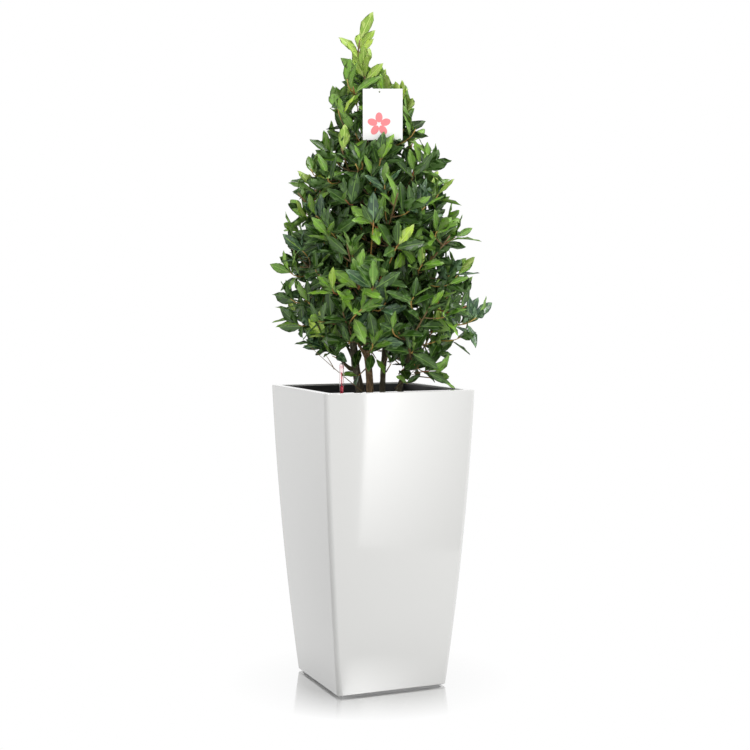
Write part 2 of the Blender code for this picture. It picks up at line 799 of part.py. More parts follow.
def is_one_body(mesh):
    """Whether every edge joins two faces and all faces hang together."""
    form = bmesh.new()
    form.from_mesh(mesh)
    closed = all(len(edge.link_faces) == 2 for edge in form.edges)
    form.faces.ensure_lookup_table()
    seen = {form.faces[0]}
    front = [form.faces[0]]
    while front:
        for edge in front.pop().edges:
            for face in edge.link_faces:
                if face not in seen:
                    seen.add(face)
                    front.append(face)
    whole = len(seen) == len(form.faces)
    form.free()
    return closed and whole


def join_all(host, kept):
    """Fuses the collection's twigs and leaves to the host, and says whether that made one closed body."""
    join = host.modifiers.new("join", "BOOLEAN")
    join.operation = "UNION"
    join.operand_type = "COLLECTION"
    join.collection = kept
    for solver in ("EXACT", "MANIFOLD"):
        join.solver = solver
        mesh = evaluated_mesh(host)
        if is_one_body(mesh):
            host.modifiers.clear()
            host.data = mesh
            return True
        bpy.data.meshes.remove(mesh)
    return False


def make_mass(key, space, carrier, growth, parts, material):
    """Grows the mass anew, with fewer leaves each time, until its pieces fuse to one body."""
    for attempt in range(5):
        rng = random.Random(f"mass {key} {attempt}")
        shoots, leaves = growth
        host = grow_mass(key, space, carrier, shoots, leaves - 2 * attempt, rng, parts, material)
        if host:
            return host
    raise RuntimeError(f"the mass {key} doesn't fuse")


def grow_mass(key, space, carrier, most_shoots, most_leaves, rng, parts, material):
    kept = bpy.data.collections.new("mass_pieces")
    bpy.context.scene.collection.children.link(kept)
    trunk = main_twig(space, carrier)
    form = twig_form(trunk, (TWIG_RADIUS, TWIG_RADIUS, SHOOT_RADIUS, SHOOT_TIP_RADIUS))
    host = place("mass_" + key, to_mesh("mass_" + key, form), parts, material)
    lines = [trunk]
    for line in shoot_lines(space, trunk, rng):
        if len(lines) > most_shoots:
            break
        form = twig_form(line, (SHOOT_RADIUS, SHOOT_RADIUS, SHOOT_TIP_RADIUS))
        if space.takes(form, from_carrier=True):
            place("twig", to_mesh("twig", form), kept)
            lines.append(line)
    places = [leaf_place for line in lines for leaf_place in leaf_places(line, rng)]
    spread_leaves(places, space, most_leaves, kept)
    fused = join_all(host, kept)
    for obj in list(kept.objects):
        bpy.data.objects.remove(obj, do_unlink=True)
    bpy.data.collections.remove(kept)
    if not fused:
        bpy.data.objects.remove(host, do_unlink=True)
        return None
    return host


def leaf_ways(leaf_place):
    """The leaf as it would stand, then smaller or turned ones in its place."""
    root, way, side, spread, full_length = leaf_place
    for size, turn, tilt in LEAF_TRIES:
        turned_side = Matrix.Rotation(math.radians(turn), 3, way) @ side
        angle = spread + math.radians(tilt)
        along = (way * math.cos(angle) + turned_side * math.sin(angle)).normalized()
        facing = way + Vector((0, 0, 0.4))
        facing = (facing - along * facing.dot(along)).normalized()
        yield root, along, facing, full_length * size


def spread_leaves(places, space, count, kept):
    """Adds leaves one by one, each in the place that lies farthest from the leaves already there."""
    chosen = []
    trees = []
    free = [list(leaf_ways(leaf_place)) for leaf_place in places]
    while free and len(chosen) < count:
        nearness = []
        for ways in free:
            root, along, _, length = ways[0]
            middle = root + along * length * 0.5
            nearness.append(min([(middle - other).length for other in chosen], default=1.0))
        ways = free.pop(nearness.index(max(nearness)))
        for root, along, facing, length in ways:
            if add_leaf(root, along, facing, length, space, trees, kept):
                chosen.append(root + along * length * 0.5)
                break


def add_leaf(root, along, facing, length, space, trees, kept):
    """Adds the leaf if it stays in the mass's space and clear of the leaves beside it."""
    width = LEAF_WIDTH * length / LEAF_LENGTH
    form = leaf_form(root, along, facing, length, width)
    free = leaf_form(root, along, facing, length, width, root_trim=BURIED_ROOT)
    tree = BVHTree.FromBMesh(free)
    free.free()
    if space.takes(form) and not any(tree.overlap(other) for other in trees):
        trees.append(tree)
        place("leaf", to_mesh("leaf", form), kept)
        return True
    form.free()
    return False


class Guard:
    """A small piece that leaves and twigs keep clear of."""

    def __init__(self, obj):
        mesh = evaluated_mesh(obj)
        mesh.transform(obj.matrix_world)
        self.padded = tree_of(mesh, CLEARANCE)
        bpy.data.meshes.remove(mesh)


def main():
    clear_scene()
    parts = make_collection("potted_bay_laurel")
    cutters = make_collection("cutters")
    white = make_material("white gloss lacquer", "#eef0f1", 0.12)
    dark = make_material("dark grey plastic", "#2b2d2f", 0.5)
    mix = make_material("potting mix", "#2e2622", 0.95)
    clear = make_material("clear plastic", "#f4f6f6", 0.08, transmission=0.9)
    red = make_material("red plastic", "#c4202a", 0.35)
    paper = make_material("white card", "#f7f6f4", 0.6)
    thread = make_material("white thread", "#e6e4e0", 0.7)
    bark = make_material("grey-brown bark", "#5a5142", 0.85)
    wood = make_material("olive-brown bark", "#5d5a38", 0.8)
    foliage = make_material("bay leaf", "#3f6a2c", 0.4)
    make_shell(parts, cutters, white)
    make_foot(parts, dark)
    make_insert(parts, cutters, dark)
    make_soil(parts, mix)
    make_gauge(parts, clear, red)
    stems = {name: make_stem(name, parts, bark) for name in STEMS}
    middles, growth = mass_middles()
    carriers = make_boughs(stems, middles, parts, wood)
    card = make_card(parts, cutters, paper)
    tie = make_tie(stems["stem_leader"], parts, thread)
    tube = bpy.data.objects["gauge_tube"]
    limbs = list(stems.values()) + [c for c in carriers.values() if c not in stems.values()]
    guards = [Guard(card), Guard(tie), Guard(tube)]
    for key in middles:
        space = Space(key, middles, limbs + guards, carriers[key])
        make_mass(key, space, carriers[key], growth[key], parts, foliage)


if __name__ == "__main__":
    main()
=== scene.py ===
"""A bay laurel grown as a loose pyramid, in a tall lacquered planter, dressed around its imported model.

Metres, +Z up, the planter's front faces -Y. The plant stands a little turned in its planter, so its own
directions are across, back and up, as seen from the front of the plant.
"""

import math
import random
from contextlib import contextmanager
from itertools import product

import bmesh
import bpy
import numpy as np
from bpy.props import FloatProperty, FloatVectorProperty, IntProperty, PointerProperty
from mathutils import Matrix, Vector
from mathutils.bvhtree import BVHTree


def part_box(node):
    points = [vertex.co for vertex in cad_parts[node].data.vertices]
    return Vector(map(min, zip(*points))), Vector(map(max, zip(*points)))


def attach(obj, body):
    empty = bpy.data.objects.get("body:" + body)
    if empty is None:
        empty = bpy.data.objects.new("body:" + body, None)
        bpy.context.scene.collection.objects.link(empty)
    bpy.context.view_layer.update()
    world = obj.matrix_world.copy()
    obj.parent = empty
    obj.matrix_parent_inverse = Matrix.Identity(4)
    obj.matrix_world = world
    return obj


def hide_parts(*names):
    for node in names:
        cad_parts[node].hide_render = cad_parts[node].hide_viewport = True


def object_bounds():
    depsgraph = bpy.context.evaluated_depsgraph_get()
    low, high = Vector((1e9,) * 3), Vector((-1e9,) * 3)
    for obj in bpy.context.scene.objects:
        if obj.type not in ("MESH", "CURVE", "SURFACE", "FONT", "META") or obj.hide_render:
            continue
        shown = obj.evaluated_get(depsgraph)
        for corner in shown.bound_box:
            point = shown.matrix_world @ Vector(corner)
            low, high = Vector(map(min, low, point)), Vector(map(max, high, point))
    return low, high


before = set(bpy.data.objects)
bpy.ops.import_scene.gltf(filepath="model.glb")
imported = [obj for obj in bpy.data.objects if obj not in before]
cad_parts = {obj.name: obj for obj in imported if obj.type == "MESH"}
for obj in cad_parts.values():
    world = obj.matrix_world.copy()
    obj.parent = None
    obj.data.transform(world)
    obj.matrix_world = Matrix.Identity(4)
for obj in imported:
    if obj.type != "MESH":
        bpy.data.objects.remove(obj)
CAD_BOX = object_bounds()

bl_info = {
    "name": "Potted bay laurel",
    "version": (1, 0, 0),
    "blender": (4, 5, 0),
    "location": "View3D > Sidebar > Bay laurel",
    "description": "Dresses a bay laurel pyramid and its tall lacquered planter, piece by piece",
    "category": "Object",
}

# Planter
PLANTER_HEIGHT = 0.750
PLANTER_TOP = 0.400
PLANTER_BOTTOM = 0.293
SIDE_BULGE = 0.0065
CORNER_RADIUS = 0.012
RIM_EDGE = 0.0025
LIP_EDGE = 0.0012
RIM_OPENING = 0.348
LEDGE_WIDTH = 0.004
LEDGE_DEPTH = 0.008
RIM_DEPTH = 0.015
WALL = 0.005
FOOT_HEIGHT = 0.008
SKIRT_HEIGHT = 0.0045
FOOT_HALF = 0.1375
SIDE_LEVELS = 24
CORNER_SEGMENTS = 8
EDGE_SEGMENTS = 4
SMOOTH_ANGLE = math.radians(40)
SAME_PLACE = 1e-5
EDGE_SLACK = 1e-4
WELD = 1e-6

# Potting mix: its top is heaved by swells of two sizes, each with its depth, short of the insert's wall. Its
# palest crumbs are a few times as bright as the rest.
SOIL_LEVEL = 0.705
SOIL_DEPTH = 0.030
SOIL_TAPER = 0.97
MIX_GRID = 56
MIX_EDGE = 0.004
MIX_SWELLS = (("mounds", 0.05, 0.006), ("crumbs", 0.007, 0.003))
PALE_CRUMBS = 2.2

# Bark chips: their length, their width and height as shares of it, how far they tilt, how uneven they are,
# how far they stay from the insert's wall, and how far they fall onto the mix
CHIP_COUNT = 520
CHIP_SIZE = (0.004, 0.011)
CHIP_WIDTH = (0.4, 0.8)
CHIP_HEIGHT = (0.25, 0.5)
CHIP_TILT = 0.5
CHIP_UNEVENNESS = 0.12
CHIPS_FROM_WALL = 0.014
CHIPS_FALL = 0.05

# Water gauge
GAUGE_PLACE = (-0.140, -0.155)
GAUGE_TOP = 0.820
GAUGE_RADIUS = 0.0055
GAUGE_WALL = 0.0009
FLOAT_TOP = 0.765
INDICATOR_TOP = 0.798
INDICATOR_RADIUS = 0.0011
FLOAT_GAP = 0.0006
FLOAT_SHOULDER = 0.002
GAUGE_MARKS = (0.8125, 0.8085)
MARK_HALF = 0.0004
MARK_PROUD = 0.00025
TURNING_STEPS = 24
DOME_STEPS = 5

# Gift card, seen square on from the front of the plant
CARD_MIDDLE = (0.0305, -0.118, 1.4236)
CARD_SIZE = (0.097, 0.124)
CARD_THICKNESS = 0.001
BLOSSOM_PLACE = (-0.009, -0.024)
BLOSSOM_RADIUS = 0.029
PETAL_REACH = 0.58
PETAL_LENGTH = 0.84
PETAL_WIDTH = 0.60
PETALS = 5
PETAL_SIDES = 28
PRINT_THICKNESS = 0.0002
PRINT_SUNK = 0.00005

# Plant
PLANT_TURN = math.radians(-22.98)
STEMS = ("stem_left", "stem_leader", "stem_right", "stem_low_right")

# Stems and boughs: the sides of their nodes, and how finely their bark follows them and rounds them
STEM_SIDES = 8
BOUGH_SIDES = 6
STEM_STEP = 0.003
BOUGH_STEP = 0.004
STEM_ROUNDING = 8
BOUGH_ROUNDING = 4

# A bough's collar: how deep its root goes in its stem, as a share of the way to the stem's middle, and how
# much stouter the bough is there and at the stem's bark
COLLAR_DEPTH = 0.8
COLLAR_SWELL = (1.5, 1.15)

# The bark's relief: its texture, its size, and its share of the full depth. Boughs have half of a stem's.
BARK_RELIEF = (("swellings", "CLOUDS", 0.018, 1.0), ("furrows", "STUCCI", 0.006, 0.35))
BOUGH_RELIEF = 0.5

# The crown's reach to the left and to the right at each height, as seen from the front.
CROWN_OUTLINE = (
    (0.760, 0.118, 0.175),
    (0.800, 0.140, 0.225),
    (0.850, 0.190, 0.255),
    (0.900, 0.238, 0.300),
    (0.930, 0.252, 0.330),
    (1.000, 0.257, 0.300),
    (1.060, 0.264, 0.274),
    (1.130, 0.250, 0.282),
    (1.200, 0.234, 0.250),
    (1.270, 0.220, 0.224),
    (1.330, 0.190, 0.200),
    (1.400, 0.135, 0.160),
    (1.480, 0.120, 0.132),
    (1.540, 0.095, 0.095),
    (1.600, 0.084, 0.036),
    (1.650, 0.060, 0.022),
    (1.700, 0.036, 0.020),
)

# The crown's underside: how low a leaf may hang at each place across, from left to right.
CROWN_FLOOR = (
    (-0.300, 0.870),
    (-0.160, 0.850),
    (-0.075, 0.842),
    (-0.050, 0.862),
    (0.005, 0.862),
    (0.030, 0.830),
    (0.060, 0.812),
    (0.100, 0.768),
    (0.190, 0.768),
    (0.300, 0.830),
)

# Each tier of foliage: height of its middle, share of the reach, number of masses, first bearing in
# degrees, and the leafy shoots in each mass.
TIERS = (
    ("skirt", 0.900, 0.60, 6, 8.0, 9),
    ("low", 1.035, 0.58, 5, 40.0, 12),
    ("middle", 1.165, 0.56, 4, 20.0, 12),
    ("upper", 1.285, 0.54, 4, 60.0, 9),
    ("high", 1.395, 0.52, 3, 165.0, 7),
)
MASS_STAGGER = 0.012
TOP_MASS = (-0.014, 0.0, 1.555)
TOP_SHOOTS = 4
LEADER_STOUTNESS = 1.12
BOUGH_RISE = 0.095
CELL_MARGIN = 0.0012
LOWEST_LEAF = 0.766

# A mass's own stem: how far it starts back from its carrier's tip, how far it runs straight on, what share
# of the way it then goes toward the mass's middle, how it leans and rises from there, and how far it reaches
TWIG_START = 0.004
TWIG_STRAIGHT = 0.016
TOWARD_MIDDLE = 0.7
TWIG_LEAN = 0.8
LEAN_BY_PLACE = 6
TWIG_RISE = 0.9
TWIG_REACH = 0.16
TWIG_STEP = 0.01
TWIG_SHORT_OF_EDGE = 0.035
LEAST_TWIG = 0.02
TRUNK_STEP = 0.012
TRUNK_SWELL = 1.2

# Leafy shoots: their radii, how much they bow, how far below its tip one leaves the mass's stem, as a share
# of the gap between them, and the lowest place on that stem, as a share of it
TWIG_RADIUS = 0.0024
SHOOT_RADIUS = 0.0019
SHOOT_TIP_RADIUS = 0.0011
SHOOT_BOW = 0.45
SHOOT_BELOW = 0.6
LOWEST_ROOT = 0.06
ROOT_PLACES = 20
GOLDEN_ANGLE = math.radians(137.5)

# How steeply shoots rise at each height, in degrees, how much more they do on the axis, the most that they
# rise, and how much rise and bearing vary
SHOOT_RISE = ((0.78, 5.0), (0.95, 25.0), (1.15, 38.0), (1.40, 52.0), (1.60, 80.0))
INSIDE_RISE = 45
MOST_RISE = 85.0
RISE_VARIES = 12
BEARING_VARIES = 0.35

# Shoots that fill a mass: where their tips are looked for, with room for a leaf beyond them, the shortest
# shoot, and from what length on one forks
SEARCH_HALF = 0.17
SEARCH_POINTS = 700
LEAF_ROOM = 0.045
ON_AXIS = 0.02
LEAST_SHOOTS = 2
LEAST_SHOOT = 0.03
LEAST_LEAVES = 4
TRUNK_LEAVES = 8
FORKS_FROM = 0.07
FORK_PLACE = (0.35, 0.6)
FORK_AIM = (0.8, 0.7, 0.35)
FORK_REACH = (0.045, 0.07)
FORK_LEAVES = 7

# Tufts stand out all round the crown, one to each patch of this many square metres, their tips set back by
# about a leaf from its reach, and its other leaves stay within a share of it.
TUFT_AREA = 0.0105
TUFT_HEIGHTS = (0.83, 1.47)
TUFT_SET_BACK = 0.064
SET_BACK_VARIES = (0.85, 1.2)
LEAST_SHARE = 0.40
FILL_SHARE = 0.90
FILL_ABOVE_FLOOR = 0.025
TUFT_LEAVES = (6, 8)
TUFTS_APART = 0.05

# The tufts at the crown's two sides, from the top down: height of the tip, how far out it is, and its lean
# outward from upright in degrees.
LEFT_TUFTS = (
    (1.465, 0.035, 30),
    (1.430, 0.060, 50),
    (1.370, 0.065, 40),
    (1.325, 0.080, 60),
    (1.250, 0.140, 40),
    (1.175, 0.155, 60),
    (1.105, 0.120, 85),
    (1.040, 0.200, 45),
    (0.975, 0.200, 40),
    (0.910, 0.180, 60),
    (0.870, 0.165, 80),
)
RIGHT_TUFTS = (
    (1.492, 0.040, 5),
    (1.462, 0.070, 8),
    (1.400, 0.084, 20),
    (1.365, 0.105, 30),
    (1.305, 0.150, 45),
    (1.235, 0.170, 20),
    (1.205, 0.175, 50),
    (1.128, 0.212, 60),
    (1.040, 0.205, 40),
    (0.930, 0.268, 52),
    (0.880, 0.230, 60),
    (0.835, 0.165, 70),
    (0.790, 0.140, 100),
)
TOWARD_FRONT = math.radians(15)

CARD_TUFT = (0.025, -0.137, 1.312)
CARD_TUFT_AIM = (0.1, -0.3, 0.95)

# Short shoots low between the stems and near the rim, and the twigs that carry the single leaves below:
# root, then tip, across, back and up, how many leaves may grow on them, and their tone
LOW_SHOOTS = (
    ((-0.010, -0.030, 0.800), (-0.030, -0.060, 0.782), 2, "cool"),
    ((-0.004, -0.005, 0.852), (0.014, -0.055, 0.826), 1, "bright"),
    ((0.040, -0.020, 0.790), (0.052, -0.050, 0.812), 4, "deep"),
    ((0.072, -0.030, 0.785), (0.082, -0.070, 0.800), 3, "deep"),
    ((0.088, -0.060, 0.768), (0.092, -0.090, 0.764), 1, "mature"),
    ((0.110, -0.060, 0.790), (0.145, -0.090, 0.795), 4, "mature"),
    ((0.120, -0.050, 0.780), (0.165, -0.070, 0.776), 3, "bright"),
    ((-0.004, -0.005, 0.842), (0.010, -0.155, 0.874), 0, "mature"),
    ((-0.010, -0.010, 0.960), (0.008, -0.215, 1.155), 0, "mature"),
    ((-0.010, -0.010, 0.880), (0.006, -0.234, 0.998), 0, "mature"),
    ((0.020, -0.060, 1.000), (0.064, -0.204, 1.100), 0, "mature"),
    ((-0.078, -0.020, 0.832), (-0.118, -0.050, 0.850), 5, "mature"),
    ((-0.072, -0.020, 0.830), (-0.090, -0.060, 0.842), 4, "cool"),
    ((-0.092, -0.020, 0.842), (-0.136, -0.030, 0.862), 4, "deep"),
    ((-0.004, -0.005, 0.845), (0.004, -0.070, 0.838), 3, "mature"),
    ((-0.030, -0.020, 0.855), (-0.024, -0.060, 0.850), 3, "deep"),
    ((0.034, -0.020, 0.810), (0.048, -0.040, 0.836), 4, "deep"),
    ((0.044, -0.010, 0.815), (0.074, -0.040, 0.826), 4, "deep"),
)

# Single leaves: the stalk's foot, across, back and up, then bearing from the plant's right and rise above
# level in degrees, share of a full length, and tone
SINGLE_LEAVES = (
    (0.024, -0.138, 1.312, 40, 88, 0.84, "mature"),
    (0.028, -0.138, 1.312, 0, 66, 0.84, "bright"),
    (0.088, -0.085, 0.764, -10, 30, 0.50, "mature"),
    (0.010, -0.155, 0.874, 185, 34, 0.95, "mature"),
    (0.010, -0.158, 0.876, -100, 58, 0.92, "mature"),
    (0.012, -0.156, 0.874, -8, 38, 0.95, "mature"),
    (0.012, -0.150, 0.872, -20, -4, 0.85, "cool"),
    (0.008, -0.150, 0.870, 200, 6, 0.70, "mature"),
    (0.007, -0.236, 1.000, -95, 80, 0.80, "bright"),
    (0.005, -0.232, 0.998, 190, 34, 0.95, "cool"),
    (0.009, -0.232, 0.998, -10, 30, 0.90, "mature"),
    (0.004, -0.234, 0.996, 230, 55, 0.85, "mature"),
    (0.066, -0.205, 1.100, -30, 50, 0.78, "young"),
    (0.008, -0.215, 1.155, -80, 84, 0.88, "cool"),
    (0.009, -0.215, 1.150, 20, 66, 0.60, "mature"),
    (0.007, -0.215, 1.152, 170, 60, 0.62, "mature"),
)

# The leader's last stretch, and its leaves from the top down: height of the stalk, bearing from the plant's
# right and rise above level in degrees, share of a full length, and tone.
LEADER_COURSE = ((-0.014, 0.0, 1.530), (-0.030, 0.0, 1.585), (-0.027, 0.0, 1.624))
LEADER_LEAVES = (
    (1.622, -15, 66, 0.97, "young"),
    (1.606, 0, 48, 0.72, "young"),
    (1.598, 90, 50, 0.80, "young"),
    (1.594, -30, 40, 0.60, "young"),
    (1.590, 178, 46, 0.80, "young"),
    (1.574, 195, 55, 0.72, "young"),
    (1.555, 60, 55, 0.85, "young"),
    (1.540, 120, 45, 0.90, "bright"),
    (1.536, 250, 82, 0.92, "young"),
    (1.532, 180, 38, 0.92, "bright"),
    (1.528, 205, 60, 0.85, "young"),
    (1.528, -65, 66, 0.80, "young"),
    (1.524, -10, 42, 0.75, "young"),
    (1.510, 90, 35, 0.95, "mature"),
    (1.506, 195, 34, 0.82, "bright"),
    (1.500, 170, 22, 0.80, "mature"),
    (1.474, 185, 58, 0.80, "mature"),
    (1.456, 210, 52, 0.92, "bright"),
    (1.445, 60, 40, 0.95, "mature"),
)

# Bare twigs near the rim: root, then tip, across, back and up, and how upright the tip is
BARE_TWIGS = (
    ((-0.020, -0.090, 0.745), (-0.146, -0.150, 0.858), 0.9),
    ((-0.088, -0.138, 0.802), (-0.110, -0.150, 0.840), 1.2),
    ((0.062, -0.050, 0.750), (0.122, -0.110, 0.812), 0.8),
    ((0.090, -0.085, 0.780), (0.124, -0.100, 0.790), 0.0),
)
BARE_TWIG_RADII = (0.0013, 0.0005)
BARE_TWIG_STEPS = 10

# Leaves along a shoot: how they crowd toward its tip, how far they spread from it in degrees at the tip and
# lower down, how small the newest are, how much spread, length and width vary, and how they turn upward
LEAF_CROWDING = 1.3
FULL_SHOOT = 6
LOWEST_STALK = 0.02
BELOW_TIP = 0.003
LEAF_SPREAD = (28, 80)
SPREADING_LEAVES = 5
SPREAD_VARIES = 9
NEW_LEAF_SIZES = (0.74, 0.74, 0.9, 0.9)
LENGTH_VARIES = (0.8, 1.06)
WIDTH_VARIES = (0.85, 1.1)
LEAF_LIFT = 0.25

# What is tried in turn where a leaf doesn't fit: its size, and how far it turns round the shoot and tilts
LEAF_WAYS = ((1.0, 0, 0), (1.0, 35, 0), (1.0, -35, 0), (0.92, 0, -18), (0.88, 20, 16), (0.8, 70, -20),
             (0.8, -70, 0), (0.7, 0, -30))

# A leaf's upper side faces along its shoot, up and out in these shares. A placed leaf's faces the front.
FACING_SHARES = (0.7, 0.55, 0.4)
FACING_VARIES = 0.42
PLACED_FACING = (0, -0.8, 0.5)
PLACED_FACING_VARIES = 0.4

# Where along a leaf its room is looked at, the last place its tip, and the room that it leaves the limbs,
# the card, the gauge and the rim. Tips may reach a little way up before the card's lower edge.
LEAF_CHECKS = (0.4, 0.62, 0.84, 1.0)
LIMB_ROOM = 0.003
LIMB_CHECKS_APART = 0.01
CARD_ROOM = 0.004
BESIDE_CARD = 0.003
BEFORE_CARD = 0.006
TIPS_OVER_CARD = 0.014
GAUGE_ROOM = 0.012
OVER_GAUGE = 0.004
RIM_ROOM = 0.003

# Tones of leaves from the oldest to the newest. A spray's tone is dealt out by its place, near the top,
# inside the
# crown or at its edge: a draw from 0 to 1 gives the first tone whose number is above it.
# The deep tone, dealt out mostly inside the crown, is partly the older leaves' own dark green and partly
# painted shade of the crown's inside.
TONES = ("deep", "mature", "cool", "bright", "young")
TOP_GROWTH = 1.42
TOP_TONES = (("young", 0.45), ("bright", 0.85), ("mature", 1.0))
INSIDE = 0.6
SHADED_INSIDE_TONES = (("deep", 0.65), ("mature", 1.0))
# At the crown's edge, the blue-grey tone's colour is a painted sheen of the white studio light
EDGE_TONES = (("young", 0.02), ("bright", 0.36), ("cool", 0.54), ("mature", 1.0))
YOUNG_TIP_CHANCE = 0.3

# What a tone's lighter and darker blades make of its red, green and blue
LIGHTER = (1.28, 1.20, 1.0)
DARKER = (0.72, 0.78, 0.78)

# Finishes of the twigs and of a leaf's parts, by number, and how many shoots there are to one with a red tip
INNER_WOOD, TAN_SHOOT, RED_SHOOT = range(3)
RED_SHOOT_EVERY = 4
BLADE, MIDRIB, UNDERSIDE, STALK, LIGHTER_BLADE, DARKER_BLADE = range(6)

# Leaf: places along it as shares of its length, with its half width there
LEAF_ROWS = ((0.0, 0.05), (0.08, 0.06), (0.20, 0.42), (0.38, 0.86), (0.56, 1.0), (0.76, 0.76), (0.91, 0.32),
             (1.0, 0.0))
LEAF_SLIMNESS = 0.38
LEAF_THICKNESS = 0.010
MIDRIB_SHARE = 0.085
MIDRIB_TAPER = 0.8

# The leaf's upper face is a grid of five strips, the midrib in the middle, and its lower face one of two.
# Their columns, as shares of the half width: the midrib's edge, the most that counts as the midrib, and the
# least that counts as the margin
UPPER_STRIPS = 5
LOWER_STRIPS = 2
MIDRIB_COLUMN = 0.2
BY_MIDRIB = 0.3
BY_MARGIN = 0.8
WIDEST_MIDRIB = 0.6
HALFWAY_LIFT = 0.62
LEAST_WIDTH = 0.01
POINT_WIDTH = 1e-5
SAME_ROW = 1e-3
LEAF_WELD = 1e-4

# Leaf forms: how far the tip droops, sweeps sideways and twists in degrees, how deep the fold is, and how
# wavy the margin
LEAF_FORMS = (
    (0.05, 0.00, 0.0, 0.34, 0.016),
    (0.14, 0.03, 9.0, 0.42, -0.020),
    (0.22, -0.04, -12.0, 0.28, 0.022),
    (0.00, -0.02, 16.0, 0.48, -0.012),
    (0.16, 0.05, -18.0, 0.24, 0.024),
    (-0.06, 0.01, 7.0, 0.38, 0.018),
)


def colour(code):
    """An sRGB hex colour as linear red, green and blue."""
    channels = [int(code[i : i + 2], 16) / 255 for i in (1, 3, 5)]
    return tuple(c / 12.92 if c <= 0.04045 else ((c + 0.055) / 1.055) ** 2.4 for c in channels)


def between(low, high, share):
    return low + (high - low) * share


def table_value(rows, at, column=1):
    """The value that a table of rows, sorted by their first number, gives at a place between two rows."""
    at = max(rows[0][0], min(rows[-1][0], at))
    for low, high in zip(rows, rows[1:]):
        if at <= high[0]:
            break
    return between(low[column], high[column], (at - low[0]) / (high[0] - low[0]))


def plant_point(across, back, up):
    return Matrix.Rotation(PLANT_TURN, 3, "Z") @ Vector((across, back, up))


def to_plant(point):
    return Matrix.Rotation(-PLANT_TURN, 3, "Z") @ Vector(point)


# Settings


def colour_setting(name, description, code):
    return FloatVectorProperty(name=name, description=description, subtype="COLOR", default=colour(code),
                               min=0, max=1)


class PlanterSettings(bpy.types.PropertyGroup):
    lacquer: colour_setting("Lacquer", "Colour of the planter's gloss lacquer", "#ccccca")
    lacquer_roughness: FloatProperty(
        name="Lacquer roughness", description="0 is a mirror, 1 is matt", default=0.09, min=0, max=1)
    liner: colour_setting("Liner", "Colour of the growing insert", "#1a1b1c")
    foot: colour_setting("Foot", "Colour of the foot under the shell", "#b8b8b8")
    mix: colour_setting("Potting mix", "Colour of the moist bark and peat", "#2b211b")
    gauge: colour_setting("Gauge red", "Colour of the water gauge's float and marks", "#b4183a")


class FoliageSettings(bpy.types.PropertyGroup):
    leaf_length: FloatProperty(
        name="Leaf length", description="Length of a full-grown leaf with its stalk", unit="LENGTH",
        default=0.084, min=0.03, max=0.12)
    leaf_spacing: FloatProperty(
        name="Leaf spacing", description="Distance along a shoot from leaf to leaf", unit="LENGTH",
        default=0.0135, min=0.004, max=0.05)
    leafy_share: FloatProperty(
        name="Leafy share", description="Share of a shoot's length that carries leaves", subtype="FACTOR",
        default=0.68, min=0.1, max=1)
    clearance: FloatProperty(
        name="Clearance", description="Least distance between the middles of two leaves", unit="LENGTH",
        default=0.0095, min=0.002, max=0.03)
    seed: IntProperty(name="Seed", description="Another number grows another crown", default=5)
    # Deep green is partly the older leaves' own colour and partly painted shade of the crown's inside
    deep: colour_setting("Deep green", "Older leaves inside the crown", "#1f3608")
    mature: colour_setting("Mature green", "Full-grown leaves", "#325515")
    # The blue-grey of this green is a painted sheen of the white studio light on the leaves
    cool: colour_setting("Sheen-painted green", "Full-grown leaves with a bluish bloom", "#335638")
    bright: colour_setting("Bright green", "This season's leaves", "#72a033")
    young: colour_setting("Young green", "The newest leaves at the tips", "#a4c64e")


class BarkSettings(bpy.types.PropertyGroup):
    bark: colour_setting("Bark", "Colour of the old bark", "#5c5442")
    lichen: colour_setting("Grey-green patches", "Colour of the dark bark's patches", "#9a9a80")
    leader_bark: colour_setting("Leader's bark", "Colour of the leader's paler bark", "#7e674b")
    leader_patches: colour_setting("Leader's patches", "Colour of its pale orange patches", "#d8ae82")
    young_bark: colour_setting("Young bark", "Colour of the boughs", "#4e4a2c")
    relief: FloatProperty(
        name="Relief", description="Depth of the bark's furrows and swellings", unit="LENGTH",
        default=0.0012, min=0, max=0.01)


class CardSettings(bpy.types.PropertyGroup):
    paper: colour_setting("Card", "Colour of the gift card", "#fbfbfa")
    print_colour: colour_setting("Blossom", "Colour of the blossom printed on the card", "#f98d92")


class StageSettings(bpy.types.PropertyGroup):
    floor: colour_setting("Floor", "Colour of the studio floor", "#fafafa")
    floor_glow: FloatProperty(
        name="Floor glow", description="Strength of the light from under the floor", default=1.0, min=0)
    sky: FloatProperty(
        name="Studio light", description="Strength of the soft light from all round", default=1.0, min=0)
    overhead: FloatProperty(
        name="Overhead light", description="Strength of the soft light from above", default=2.4, min=0)
    softbox: FloatProperty(
        name="Softbox", description="Strength of the graded softbox in front", default=5.9, min=0)


# Modelling


def activate(obj):
    bpy.ops.object.select_all(action="DESELECT")
    obj.select_set(True)
    bpy.context.view_layer.objects.active = obj


@contextmanager
def editing():
    """Edit mode on the active object, with all of its mesh selected at first."""
    bpy.ops.object.mode_set(mode="EDIT")
    bpy.ops.mesh.select_all(action="SELECT")
    yield
    bpy.ops.object.mode_set(mode="OBJECT")


def place_object(name, data):
    made = bpy.data.objects.new(name, data)
    bpy.context.scene.collection.objects.link(made)
    return made


def select_in_mesh(obj, kind, test):
    """Selects the vertices, edges or faces that pass the test, in edit mode, and nothing else."""
    bpy.ops.mesh.select_mode(type={"verts": "VERT", "edges": "EDGE", "faces": "FACE"}[kind])
    bpy.ops.mesh.select_all(action="DESELECT")
    form = bmesh.from_edit_mesh(obj.data)
    for item in getattr(form, kind):
        if test(item):
            item.select_set(True)
    form.select_flush_mode()
    bmesh.update_edit_mesh(obj.data)


def apply_modifiers(obj):
    activate(obj)
    for modifier in list(obj.modifiers):
        bpy.ops.object.modifier_apply(modifier=modifier.name)


